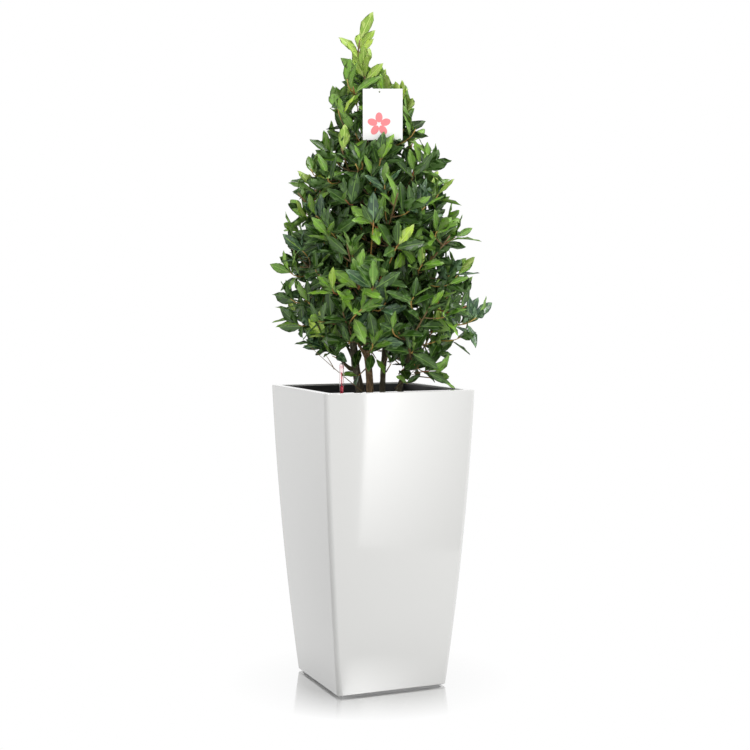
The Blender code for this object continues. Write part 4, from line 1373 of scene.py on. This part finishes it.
def edge_tufts():
    """The tips and aims of the tufts at the crown's two sides."""
    for side, tufts in ((-1, LEFT_TUFTS), (1, RIGHT_TUFTS)):
        for height, out, lean in tufts:
            lean = math.radians(lean)
            aim = plant_point(side * math.sin(lean), -math.sin(TOWARD_FRONT), math.cos(lean))
            yield plant_point(side * out, -out * math.tan(TOWARD_FRONT), height), aim.normalized()


def tufts_all_round(rng):
    """The tips and aims of tufts spread evenly over the crown, in a spiral down it at the golden angle."""
    foot, height = TUFT_HEIGHTS
    bearing = 0.0
    while height > foot:
        reach = crown_reach(crown_point(bearing, 1.0, height))
        share = max(LEAST_SHARE, 1 - TUFT_SET_BACK * rng.uniform(*SET_BACK_VARIES) / reach)
        tip = crown_point(bearing, share, height)
        yield tip, shoot_aim(tip, rng)
        bearing += GOLDEN_ANGLE
        height -= TUFT_AREA / (math.tau * reach)


def at_height(line, height):
    for low, high in zip(line, line[1:]):
        if height <= high.z:
            break
    return low.lerp(high, (height - low.z) / (high.z - low.z))


def spread_points(space, started, count, rng):
    """Points that fill the mass's space evenly: each is the one found that is farthest from the rest."""
    out = Vector((space.middle.x, space.middle.y, 0.0))
    out = out.normalized() if out.length > ON_AXIS else Vector((0, 0, 0))
    found = []
    for _ in range(SEARCH_POINTS):
        point = space.middle + Vector([rng.uniform(-SEARCH_HALF, SEARCH_HALF) for _ in range(3)])
        room = (point, point + out * LEAF_ROOM, point + Vector((0, 0, LEAF_ROOM)))
        if all(space.holds(at) for at in room):
            found.append(point)
    chosen = list(started)
    for _ in range(min(count, len(found))):
        best = max(found, key=lambda point: min((point - other).length for other in chosen))
        chosen.append(best)
        yield best


def shoot_line(trunk, target, aim):
    """A shoot that leaves the mass's stem a little below its target, and ends there along its aim."""
    def gap(share):
        return (along_line(trunk, share)[0] - target).length

    nearest = min((place / ROOT_PLACES for place in range(1, ROOT_PLACES)), key=gap)
    share = nearest - SHOOT_BELOW * gap(nearest) / line_length(trunk)
    return bowed(along_line(trunk, max(LOWEST_ROOT, share))[0], target, aim)


class Room:
    """What leaves keep clear of: each other, the limbs, the card and the gauge."""

    CELL = 0.016

    def __init__(self, limbs):
        self.cells = {}
        curves = [fine_line(limb.line, limb.radii, LIMB_CHECKS_APART) for limb in limbs]
        self.limb_points = np.array([point for points, _ in curves for point in points])
        self.limb_radii = np.array([radius for _, radii in curves for radius in radii])

    def clear_of_limbs(self, points):
        for point in points:
            away = np.linalg.norm(self.limb_points - np.array(point), axis=1) - self.limb_radii
            if away.min() < LIMB_ROOM:
                return False
        return True

    def clear_of_card(self, points):
        """No leaf goes through the card or hangs before it, but for the tips at its lower edge."""
        across, back, up = CARD_MIDDLE
        half_width, half_height = CARD_SIZE[0] / 2, CARD_SIZE[1] / 2
        for point in points:
            own = to_plant(point)
            beside = abs(own.x - across) < half_width + BESIDE_CARD
            level = -half_height + TIPS_OVER_CARD < own.z - up < half_height + CARD_ROOM
            if beside and level and own.y < back + BEFORE_CARD:
                return False
            if beside and abs(own.z - up) < half_height and abs(own.y - back) < CARD_ROOM:
                return False
        return True

    def clear_of_gauge(self, points):
        x, y = GAUGE_PLACE
        return all(point.z > GAUGE_TOP + OVER_GAUGE or math.hypot(point.x - x, point.y - y) > GAUGE_ROOM
                   for point in points)

    def cell(self, point):
        return tuple(int(c // self.CELL) for c in point)

    def near(self, point):
        """The points in this point's cell and in the cells next to it."""
        x, y, z = self.cell(point)
        for dx, dy, dz in product((-1, 0, 1), repeat=3):
            yield from self.cells.get((x + dx, y + dy, z + dz), ())

    def clear_of_leaves(self, points, least):
        return all((point - other).length > least for point in points for other in self.near(point))

    def takes(self, points, least):
        """Gives a leaf its room, if nothing else is there."""
        if not (self.clear_of_card(points) and self.clear_of_gauge(points)):
            return False
        if not (self.clear_of_leaves(points[:-1], least) and self.clear_of_limbs(points)):
            return False
        self.add(points[:-1])
        return True

    def add(self, points):
        for point in points:
            self.cells.setdefault(self.cell(point), []).append(point)


def in_box(points):
    low, high = CAD_BOX
    return all(low[i] < point[i] < high[i] for point in points for i in range(3))


def above_floor(points, least=0.0):
    return all(point.z > table_value(CROWN_FLOOR, to_plant(point).x) + least for point in points)


def above_rim(points):
    return in_box(points) and all(point.z > PLANTER_HEIGHT + RIM_ROOM for point in points)


def in_tuft(points):
    """Whether a tuft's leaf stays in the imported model's box and above the crown's underside."""
    return in_box(points) and above_floor(points)


def in_crown(points):
    """Whether a leaf stays within the crown's reach, short of its tufts, and above its underside."""
    if any(math.hypot(point.x, point.y) > crown_reach(point) * FILL_SHARE for point in points):
        return False
    return in_box(points) and above_floor(points, FILL_ABOVE_FLOOR)


def leaf_facing(along, way, at, rng):
    """The way a leaf's upper side faces: along its shoot, up and out, as far as its own course lets it."""
    onward, up, outward = FACING_SHARES
    out = Vector((at.x, at.y, 0)).normalized()
    return squared(way * onward + Vector((0, 0, up)) + out * outward, along, rng.gauss(0, FACING_VARIES))


def squared(facing, along, turn):
    """The facing made square to the leaf's course and turned about it."""
    facing = (facing - along * facing.dot(along)).normalized()
    facing.rotate(Matrix.Rotation(turn, 3, along))
    return facing


class Crown:
    """All that grows: the lines of its twigs and the leaves on them, by tone."""

    def __init__(self, settings, room):
        self.settings = settings
        self.room = room
        self.twigs = []
        self.leaves = {tone: [] for tone in TONES}

    def add_leaf(self, at, along, facing, length, width, tone):
        self.leaves[tone].append((at, along, facing, length, width))

    def grow_leaves(self, line, tone, rng, count, fits):
        """Leaves in turn along a shoot, closest and most upright at its tip, each where it finds room."""
        settings = self.settings
        turn = rng.uniform(0, math.tau)
        grown = 0
        for index in range(count):
            share = 1.0 - settings.leafy_share * (index / max(count, FULL_SHOOT)) ** LEAF_CROWDING
            at, way = along_line(line, max(LOWEST_STALK, share - BELOW_TIP))
            turn += GOLDEN_ANGLE
            side = way.orthogonal().normalized()
            side.rotate(Matrix.Rotation(turn, 3, way))
            spread = between(*LEAF_SPREAD, min(1.0, index / SPREADING_LEAVES))
            spread = math.radians(spread + rng.uniform(-SPREAD_VARIES, SPREAD_VARIES))
            young = NEW_LEAF_SIZES[index] if index < len(NEW_LEAF_SIZES) else 1.0
            length = settings.leaf_length * young * rng.uniform(*LENGTH_VARIES)
            for size, shift, tilt in LEAF_WAYS:
                turned_side = Matrix.Rotation(math.radians(shift), 3, way) @ side
                angle = spread + math.radians(tilt)
                along = way * math.cos(angle) + turned_side * math.sin(angle) + Vector((0, 0, LEAF_LIFT))
                along.normalize()
                points = [at + along * length * size * part for part in LEAF_CHECKS]
                if fits(points) and self.room.takes(points, settings.clearance):
                    facing = leaf_facing(along, way, at, rng)
                    width = rng.uniform(*WIDTH_VARIES)
                    self.add_leaf(at, along, facing, length * size, width, leaf_tone(tone, index, rng))
                    grown += 1
                    break
        return grown

    def grow_shoot(self, line, tone, rng, count, fits):
        """A leafy shoot, unless no more than one leaf finds room on it."""
        if self.grow_leaves(line, tone, rng, count, fits) > 1:
            self.add_twig(line)

    def add_twig(self, line):
        """A shoot whose inner half is older wood, and whose tip is tan or reddish."""
        steps = len(line) - 1
        radii = [between(SHOOT_RADIUS, SHOOT_TIP_RADIUS, i / steps) for i in range(steps + 1)]
        half = steps // 2
        self.twigs.append((line[: half + 1], radii[: half + 1], INNER_WOOD))
        tip = TAN_SHOOT if len(self.twigs) // 2 % RED_SHOOT_EVERY else RED_SHOOT
        self.twigs.append((line[half:], radii[half:], tip))

    def grow_trunk(self, key, middles, carrier):
        """The mass's own stem. That of the top mass is the leader's last stretch."""
        trunk = main_twig(Space(key, middles), carrier)
        if key == "top":
            trunk = [trunk[0]] + [plant_point(*point) for point in LEADER_COURSE]
        radii = (carrier.radii[-1], TWIG_RADIUS * TRUNK_SWELL, TWIG_RADIUS, SHOOT_RADIUS)
        points, radii = fine_line(trunk, radii, TRUNK_STEP)
        self.twigs.append((points, radii, INNER_WOOD))
        return trunk

    def grow_tufts(self, trunks, middles):
        """Tufts at the sides, one below the card, and then all round wherever one isn't near."""
        rng = random.Random(f"tufts {self.settings.seed}")
        tips = {key: [] for key in trunks}
        done = []
        card_tuft = (plant_point(*CARD_TUFT), plant_point(*CARD_TUFT_AIM))
        for tip, aim in [*edge_tufts(), card_tuft, *tufts_all_round(rng)]:
            if any((tip - other).length < TUFTS_APART for other in done):
                continue
            done.append(tip)
            key = min(middles, key=lambda key: (middles[key] - tip).length)
            line = shoot_line(trunks[key], tip, aim)
            self.grow_shoot(line, spray_tone(tip, rng), rng, rng.randint(*TUFT_LEAVES), in_tuft)
            tips[key].append(tip)
        return tips

    def grow_placed_leaves(self, trunk):
        """The leader's leaves and the single ones, each in its given place, the upper side to the front."""
        rng = random.Random("leader")
        placed = [(at_height(trunk, height), *leaf) for height, *leaf in LEADER_LEAVES]
        placed += [(plant_point(across, back, up), *leaf) for across, back, up, *leaf in SINGLE_LEAVES]
        for base, bearing, rise, share, tone in placed:
            along = plant_point(*heading(math.radians(bearing), math.radians(rise)))
            facing = squared(plant_point(*PLACED_FACING), along, rng.gauss(0, PLACED_FACING_VARIES))
            length = self.settings.leaf_length * share
            self.add_leaf(base, along, facing, length, 1.0, tone)
            self.room.add([base + along * length * part for part in LEAF_CHECKS[:-1]])

    def grow_low_shoots(self):
        rng = random.Random("low shoots")
        for root, tip, leaves, tone in LOW_SHOOTS:
            root, tip = plant_point(*root), plant_point(*tip)
            line = bowed(root, tip, (tip - root).normalized(), steps=4)
            self.add_twig(line)
            self.grow_leaves(line, tone, rng, leaves, above_rim)

    def fill_mass(self, key, middles, trunk, tips, count):
        """Fills the rest of the mass's space with shoots, some of them long enough to fork."""
        rng = random.Random(f"mass {key} {self.settings.seed}")
        space = Space(key, middles)
        if key != "top":
            self.grow_leaves(trunk, spray_tone(trunk[-1], rng), rng, TRUNK_LEAVES, in_crown)
        count = max(LEAST_SHOOTS, count - len(tips))
        for target in spread_points(space, [trunk[-1], *tips], count, rng):
            line = shoot_line(trunk, target, shoot_aim(target, rng))
            length = line_length(line)
            if length < LEAST_SHOOT:
                continue
            tone = spray_tone(target, rng)
            leaves = LEAST_LEAVES + int(length * self.settings.leafy_share / self.settings.leaf_spacing)
            self.grow_shoot(line, tone, rng, leaves, in_crown)
            if length > FORKS_FROM:
                self.fork(line, space, tone, rng)

    def fork(self, line, space, tone, rng):
        """A shorter shoot that forks off a long one and keeps to the same space."""
        onward, aside, up = FORK_AIM
        root, way = along_line(line, rng.uniform(*FORK_PLACE))
        side = way.orthogonal().normalized()
        side.rotate(Matrix.Rotation(rng.uniform(0, math.tau), 3, way))
        course = (way * onward + side * aside + Vector((0, 0, up))).normalized()
        target = root + course * rng.uniform(*FORK_REACH)
        if space.holds(target):
            fork = bowed(root, target, shoot_aim(target, rng), steps=4)
            self.grow_shoot(fork, tone, rng, FORK_LEAVES, in_crown)


def leaf_tone(tone, index, rng):
    """The leaf's kind: a spray's leaves share its tone, and the newest at its tip are lighter."""
    if tone == "young":
        return "young" if index < 3 else "bright"
    if tone == "bright":
        if index < 1 and rng.random() < YOUNG_TIP_CHANCE:
            return "young"
        return "bright" if index < 6 else "mature"
    if tone in ("mature", "cool"):
        return "bright" if index < 1 else tone
    return "mature" if index < 2 else "deep"


def spray_tone(tip, rng):
    """A spray's tone by its place: deep inside the crown, mixed at its edge, and lighter near the top."""
    edge = math.hypot(tip.x, tip.y) / crown_reach(tip)
    chance = rng.random()
    # Inside the crown the deep tone is dealt out mostly, partly as painted shade
    tones = TOP_TONES if tip.z > TOP_GROWTH else SHADED_INSIDE_TONES if edge < INSIDE else EDGE_TONES
    return next(tone for tone, most in tones if chance < most)


# Leaf models


def leaf_sheet(form, lower):
    """One face of the leaf: a grid, its rows drawn in to the outline and set along the leaf's course."""
    droop, sweep, twist, fold, wave = form
    bpy.ops.object.select_all(action="DESELECT")
    bpy.ops.mesh.primitive_grid_add(x_subdivisions=len(LEAF_ROWS) - 1, size=2,
                                    y_subdivisions=LOWER_STRIPS if lower else UPPER_STRIPS)
    sheet = bpy.context.object
    places = sorted({round(v.co.x, 4) for v in sheet.data.vertices})
    rows = [[v.index for v in sheet.data.vertices if abs(v.co.x - place) < SAME_ROW] for place in places]
    columns = {v.index: round(v.co.y, 4) for v in sheet.data.vertices}
    margin = {i for i, y in columns.items() if abs(y) > BY_MARGIN}
    parts = sheet.data.attributes.new("part", "INT", "FACE")
    for face, part in zip(sheet.data.polygons, parts.data):
        in_stalk = face.center.x < places[1]
        on_midrib = not lower and abs(face.center.y) < MIDRIB_COLUMN / 2
        part.value = STALK if in_stalk else MIDRIB if on_midrib else UNDERSIDE if lower else BLADE
    half = LEAF_SLIMNESS / 2
    with editing():
        if lower:
            pick(sheet, set(columns) - margin)
            bpy.ops.transform.translate(value=(0, 0, -LEAF_THICKNESS / half))
        else:
            # The midrib is drawn together, and the blade's halves rise from it to the margin
            for row, (share, width) in zip(rows, LEAF_ROWS):
                rib = MIDRIB_SHARE * (1 - MIDRIB_TAPER * share) / max(width, LEAST_WIDTH)
                pick(sheet, {i for i in row if abs(columns[i]) < BY_MIDRIB})
                bpy.ops.transform.resize(value=(1, min(WIDEST_MIDRIB, rib) / MIDRIB_COLUMN, 1),
                                         center_override=(0, 0, 0))
            pick(sheet, {i for i, y in columns.items() if BY_MIDRIB < abs(y) < BY_MARGIN})
            bpy.ops.transform.translate(value=(0, 0, fold * HALFWAY_LIFT))
        pick(sheet, margin)
        bpy.ops.transform.translate(value=(0, 0, fold))
        for number, (row, place, (share, width)) in enumerate(zip(rows, places, LEAF_ROWS)):
            pick(sheet, set(row))
            scale = max(width, POINT_WIDTH) * half
            bpy.ops.transform.resize(value=(1, scale, scale), center_override=(place, 0, 0))
            if 1 < number < len(LEAF_ROWS) - 1:
                pick(sheet, margin & set(row))
                bpy.ops.transform.translate(value=(0, 0, wave * (-1) ** number))
                pick(sheet, set(row))
            bpy.ops.transform.rotate(value=math.radians(twist * share), orient_axis="X",
                                     center_override=(place, 0, 0))
            bpy.ops.transform.translate(value=(share - place, sweep * share**2, -droop * share**2))
    return sheet


def pick(obj, wanted):
    select_in_mesh(obj, "verts", lambda v: v.index in wanted)


def leaf_arrays(form):
    """A leaf one metre long: its faces meet at the margin, and each has the number of its part."""
    upper = leaf_sheet(form, False)
    lower = leaf_sheet(form, True)
    activate(lower)
    with editing():
        bpy.ops.mesh.flip_normals()
    activate(upper)
    lower.select_set(True)
    bpy.ops.object.join()
    with editing():
        bpy.ops.mesh.remove_doubles(threshold=LEAF_WELD)
    parts = [part.value for part in upper.data.attributes["part"].data]
    points, faces, _ = take_arrays(upper)
    return points, faces, parts


def blade_material(name, rgb, gloss, sheen):
    """Waxy evergreen leaf: a soft gloss, broken up by the fine net of veins under it."""
    made, tree, shader = new_material("waxy bay leaf " + name, rgb, gloss, IOR=1.46,
                                      Specular_IOR_Level=sheen)
    place = add_node(tree, "ShaderNodeTexCoord").outputs["Object"]
    # Veins are 5 mm apart, coarser than real ones so that they show
    net = add_node(tree, "ShaderNodeTexVoronoi", {"Vector": place, "Scale": 200.0},
                   feature="DISTANCE_TO_EDGE")
    bump = add_node(tree, "ShaderNodeBump", {"Height": net.outputs["Distance"], "Strength": 0.25,
                                             "Distance": 0.0006})
    tree.links.new(bump.outputs["Normal"], shader.inputs["Normal"])
    return made


def leaf_kinds(settings):
    """Each tone's finishes, in the order of a leaf's parts, with a lighter and a darker blade."""
    looks = {
        # The deep tone's dark finishes are partly painted shade of the crown's inside
        "deep": (settings.deep, 0.42, 0.3, "#56742c", "#3e5a22", "#6a5a34"),
        "mature": (settings.mature, 0.34, 0.75, "#78a046", "#5a7a40", "#8a6a3a"),
        # The blue-grey tone's blade, midrib and underside colours hold a painted sheen of the white studio
        # light
        "cool": (settings.cool, 0.28, 1.0, "#86a86c", "#6c8c66", "#8a6f44"),
        "bright": (settings.bright, 0.34, 0.7, "#9cc45a", "#7c9c50", "#98703c"),
        "young": (settings.young, 0.40, 0.5, "#cfe382", "#b2ca6a", "#a05c34"),
    }
    kinds = {}
    for tone, (blade, gloss, sheen, midrib, underside, stalk) in looks.items():
        lighter = [channel * share for channel, share in zip(blade, LIGHTER)]
        darker = [channel * share for channel, share in zip(blade, DARKER)]
        kinds[tone] = [
            blade_material(tone, blade, gloss, sheen),
            new_material(f"bay leaf midrib {tone}", colour(midrib), 0.45)[0],
            new_material(f"matt leaf underside {tone}", colour(underside), 0.6)[0],
            new_material(f"leaf stalk {tone}", colour(stalk), 0.5)[0],
            blade_material(tone + ", lighter", lighter, gloss, sheen),
            blade_material(tone + ", darker", darker, gloss, sheen),
        ]
    return kinds


def leaf_frame(along, facing, length, width):
    side = facing.cross(along).normalized()
    facing = along.cross(side).normalized()
    return Matrix((along * length, side * length * width, facing * length)).transposed()


def plant_leaves(crown, settings):
    models = [leaf_arrays(form) for form in LEAF_FORMS]
    kinds = leaf_kinds(settings)
    for tone, leaves in crown.leaves.items():
        rng = random.Random(f"{tone} leaf forms")
        placements = []
        for at, along, facing, length, width in leaves:
            turn = leaf_frame(along, facing, length, width)
            blade = rng.choice((BLADE, BLADE, LIGHTER_BLADE, DARKER_BLADE))
            placements.append((at, turn, rng.randrange(len(models)), blade))
        joined_copies(f"leaves_{tone}", models, placements, kinds[tone])


class BAY_OT_foliage(bpy.types.Operator):
    """Grows the twigs and leaves of every mass on from its bough, by the plant's own rule"""
    bl_idname = "bay.foliage"
    bl_label = "Twigs and leaves"

    def execute(self, context):
        settings = context.scene.bay_foliage
        stems, boughs = read_limbs()
        middles, shoots = mass_middles()
        carriers = find_carriers(stems, boughs, middles)
        crown = Crown(settings, Room([*stems.values(), *boughs.values()]))
        trunks = {key: crown.grow_trunk(key, middles, carriers[key]) for key in middles}
        crown.grow_placed_leaves(trunks["top"])
        tips = crown.grow_tufts(trunks, middles)
        for key in middles:
            crown.fill_mass(key, middles, trunks[key], tips[key], shoots[key])
        crown.grow_low_shoots()
        for root, tip, upright in BARE_TWIGS:
            self.add_bare_twig(crown, plant_point(*root), plant_point(*tip), upright)
        plant_leaves(crown, settings)
        masses = ["mass_" + key for key in middles]
        finish_piece(tubes("twigs", crown.twigs, 1), "leafy_twigs", twig_kinds(), masses)
        return {"FINISHED"}

    def add_bare_twig(self, crown, root, tip, upright):
        level = ((tip - root) * Vector((1, 1, 0))).normalized()
        line = bowed(root, tip, (level + Vector((0, 0, upright))).normalized(), steps=BARE_TWIG_STEPS)
        radii = [between(*BARE_TWIG_RADII, i / BARE_TWIG_STEPS) for i in range(BARE_TWIG_STEPS + 1)]
        crown.twigs.append((line, radii, INNER_WOOD))


def twig_kinds():
    """Wood of the last seasons, smooth and a little waxy: brown inside, tan or red-brown at the tips."""
    codes = {"older": "#7c6642", "tan": "#c09a52", "red-brown": "#a2603a"}
    return [new_material(f"{name} bay wood", colour(code), 0.5)[0] for name, code in codes.items()]


# Stage


class BAY_OT_stage(bpy.types.Operator):
    """Lays the pale floor, sets the soft studio light and places the camera"""
    bl_idname = "bay.stage"
    bl_label = "Stage"

    CAMERA_PLACE = (-1.3561, -3.2279, 0.9661)
    CAMERA_HEADING = math.radians(22.98)
    CAMERA_DIP = math.radians(3.028)
    LENS = 66.01
    SENSOR = 36
    FLOOR_RADIUS = 30
    FLOOR_SIDES = 96
    MIRROR_REACH = (0.18, 0.37)
    LEAST_GLOW = 0.06
    SKY_HEIGHTS = (0.25, 0.8)
    ZENITH_SHARE = 0.55
    OVERHEAD_PLACE = (0.5, -1.1, 4.0)
    OVERHEAD_AIM = (0.0, 0.0, 1.0)
    OVERHEAD_SPREAD = math.radians(30)
    FLAG = ((-0.62, -0.26, 0.22), (0.56, 0.40))
    SOFTBOX = ((0.52, -1.20, 0.5), (0.36, 1.0))
    DARKEST_SIDE = 0.1
    DARKEST_FOOT = 0.3
    FULL_FROM = 0.15

    def execute(self, context):
        settings = context.scene.bay_stage
        left_out = self.lay_floor(settings)
        self.light_world(settings)
        self.hang_lights(settings, left_out)
        lens = bpy.data.cameras.new("portrait")
        lens.lens = self.LENS
        lens.sensor_width = self.SENSOR
        camera = place_object("portrait", lens)
        camera.location = self.CAMERA_PLACE
        camera.rotation_euler = (math.pi / 2 - self.CAMERA_DIP, 0, -self.CAMERA_HEADING)
        context.scene.camera = camera
        context.scene.view_settings.view_transform = "Standard"
        return {"FINISHED"}

    def lay_floor(self, settings):
        """Lays the floor, and gives the lamp that shapes the plant and the planter what it leaves out."""
        bpy.ops.object.select_all(action="DESELECT")
        bpy.ops.mesh.primitive_circle_add(vertices=self.FLOOR_SIDES, radius=self.FLOOR_RADIUS,
                                          fill_type="NGON")
        floor = bpy.context.object
        floor.name = "floor"
        floor.data.materials.append(self.floor_material(settings))
        left_out = bpy.data.collections.new("floor left out")
        left_out.objects.link(floor)
        left_out.collection_objects[0].light_linking.link_state = "EXCLUDE"
        return left_out

    def floor_material(self, settings):
        """A light table: even white, and round the planter's foot a mirror polish that fades outward."""
        made, tree, mirror = new_material("polished acrylic", settings.floor, 0.1, Metallic=1.0)
        glow = add_node(tree, "ShaderNodeEmission", {"Strength": settings.floor_glow})
        place = add_node(tree, "ShaderNodeTexCoord").outputs["Object"]
        away = add_node(tree, "ShaderNodeVectorMath", {0: place}, operation="LENGTH")
        near, far = self.MIRROR_REACH
        share = add_node(tree, "ShaderNodeMapRange", {"Value": away.outputs["Value"], "From Min": near,
                                                      "From Max": far, "To Min": self.LEAST_GLOW,
                                                      "To Max": 1.0})
        both = add_node(tree, "ShaderNodeMixShader", {0: share.outputs["Result"], 1: mirror.outputs["BSDF"],
                                                      2: glow.outputs["Emission"]})
        tree.links.new(both.outputs["Shader"], tree.nodes["Material Output"].inputs["Surface"])
        return made

    def light_world(self, settings):
        world = bpy.data.worlds.new("studio")
        world.use_nodes = True
        bpy.context.scene.world = world
        tree = world.node_tree
        way = add_node(tree, "ShaderNodeTexCoord").outputs["Generated"]
        parts = add_node(tree, "ShaderNodeSeparateXYZ", {"Vector": way})
        # White all round as high as the camera sees, and dimmer overhead
        low, high = self.SKY_HEIGHTS
        dimmed = add_node(tree, "ShaderNodeMapRange", {"Value": parts.outputs["Z"], "From Min": low,
                                                       "From Max": high, "To Min": settings.sky,
                                                       "To Max": settings.sky * self.ZENITH_SHARE})
        background = tree.nodes["Background"]
        background.inputs["Color"].default_value = (1, 1, 1, 1)
        tree.links.new(dimmed.outputs["Result"], background.inputs["Strength"])

    def hang_lights(self, settings, left_out):
        overhead = bpy.data.lights.new("overhead", "SUN")
        overhead.energy = settings.overhead
        overhead.angle = self.OVERHEAD_SPREAD
        lamp = place_object("overhead", overhead)
        lamp.location = self.OVERHEAD_PLACE
        away = Vector(self.OVERHEAD_PLACE) - Vector(self.OVERHEAD_AIM)
        lamp.rotation_euler = away.to_track_quat("Z", "Y").to_euler()
        lamp.light_linking.receiver_collection = left_out
        self.stand_softbox(settings)
        felt = new_material("black felt", colour("#0c0c0c"), 0.9)[0]
        flag = self.stand_panel("flag", *self.FLAG)
        flag.data.materials.append(felt)
        flag.visible_glossy = False

    def stand_panel(self, name, place, size):
        """An upright panel that faces the planter, seen by the light but not by the camera."""
        bpy.ops.object.select_all(action="DESELECT")
        bpy.ops.mesh.primitive_plane_add(size=1)
        panel = bpy.context.object
        panel.name = name
        panel.scale = (*size, 1)
        bpy.ops.object.transform_apply(location=False, rotation=False, scale=True)
        panel.location = place
        panel.rotation_euler = (Vector((place[0], place[1], 0))).to_track_quat("Z", "Y").to_euler()
        panel.visible_camera = False
        return panel

    def stand_softbox(self, settings):
        """A softbox before the planter's front face: brightest along its left edge and toward its top."""
        width, height = self.SOFTBOX[1]
        panel = self.stand_panel("softbox", *self.SOFTBOX)
        cloth = bpy.data.materials.new("softbox cloth")
        cloth.use_nodes = True
        tree = cloth.node_tree
        tree.nodes.remove(tree.nodes["Principled BSDF"])
        place = add_node(tree, "ShaderNodeTexCoord").outputs["Object"]
        parts = add_node(tree, "ShaderNodeSeparateXYZ", {"Vector": place})
        across = add_node(tree, "ShaderNodeMapRange", {"Value": parts.outputs["X"], "From Min": -width / 2,
                                                       "From Max": width / 2, "To Min": 1.0,
                                                       "To Max": self.DARKEST_SIDE})
        up = add_node(tree, "ShaderNodeMapRange", {"Value": parts.outputs["Y"], "From Min": -height / 2,
                                                   "From Max": self.FULL_FROM, "To Min": self.DARKEST_FOOT,
                                                   "To Max": 1.0})
        graded = add_node(tree, "ShaderNodeMath", {0: across.outputs["Result"], 1: up.outputs["Result"]},
                          operation="MULTIPLY")
        strength = add_node(tree, "ShaderNodeMath", {0: graded.outputs["Value"], 1: settings.softbox},
                            operation="MULTIPLY")
        glow = add_node(tree, "ShaderNodeEmission", {"Strength": strength.outputs["Value"]})
        tree.links.new(glow.outputs["Emission"], tree.nodes["Material Output"].inputs["Surface"])
        panel.data.materials.append(cloth)


# Panel


OPERATORS = (BAY_OT_stage, BAY_OT_planter, BAY_OT_mix, BAY_OT_gauge, BAY_OT_limbs, BAY_OT_foliage,
             BAY_OT_card)
SETTINGS = {"bay_planter": PlanterSettings, "bay_foliage": FoliageSettings, "bay_bark": BarkSettings,
            "bay_card": CardSettings, "bay_stage": StageSettings}


class BAY_PT_panel(bpy.types.Panel):
    """Lists the pieces of the plant and their settings"""
    bl_idname = "BAY_PT_panel"
    bl_label = "Bay laurel"
    bl_space_type = "VIEW_3D"
    bl_region_type = "UI"
    bl_category = "Bay laurel"

    def draw(self, context):
        for operator in OPERATORS:
            self.layout.operator(operator.bl_idname)
        for name, group in SETTINGS.items():
            box = self.layout.box()
            for setting in group.__annotations__:
                box.prop(getattr(context.scene, name), setting)


def register():
    for group in SETTINGS.values():
        bpy.utils.register_class(group)
    for name, group in SETTINGS.items():
        setattr(bpy.types.Scene, name, PointerProperty(type=group))
    for operator in OPERATORS:
        bpy.utils.register_class(operator)
    bpy.utils.register_class(BAY_PT_panel)


def unregister():
    bpy.utils.unregister_class(BAY_PT_panel)
    for operator in reversed(OPERATORS):
        bpy.utils.unregister_class(operator)
    for name, group in SETTINGS.items():
        delattr(bpy.types.Scene, name)
        bpy.utils.unregister_class(group)


def main():
    register()
    bpy.ops.bay.stage()
    bpy.ops.bay.planter()
    bpy.ops.bay.mix()
    bpy.ops.bay.gauge()
    bpy.ops.bay.limbs()
    bpy.ops.bay.foliage()
    bpy.ops.bay.card()


if __name__ == "__main__":
    main()
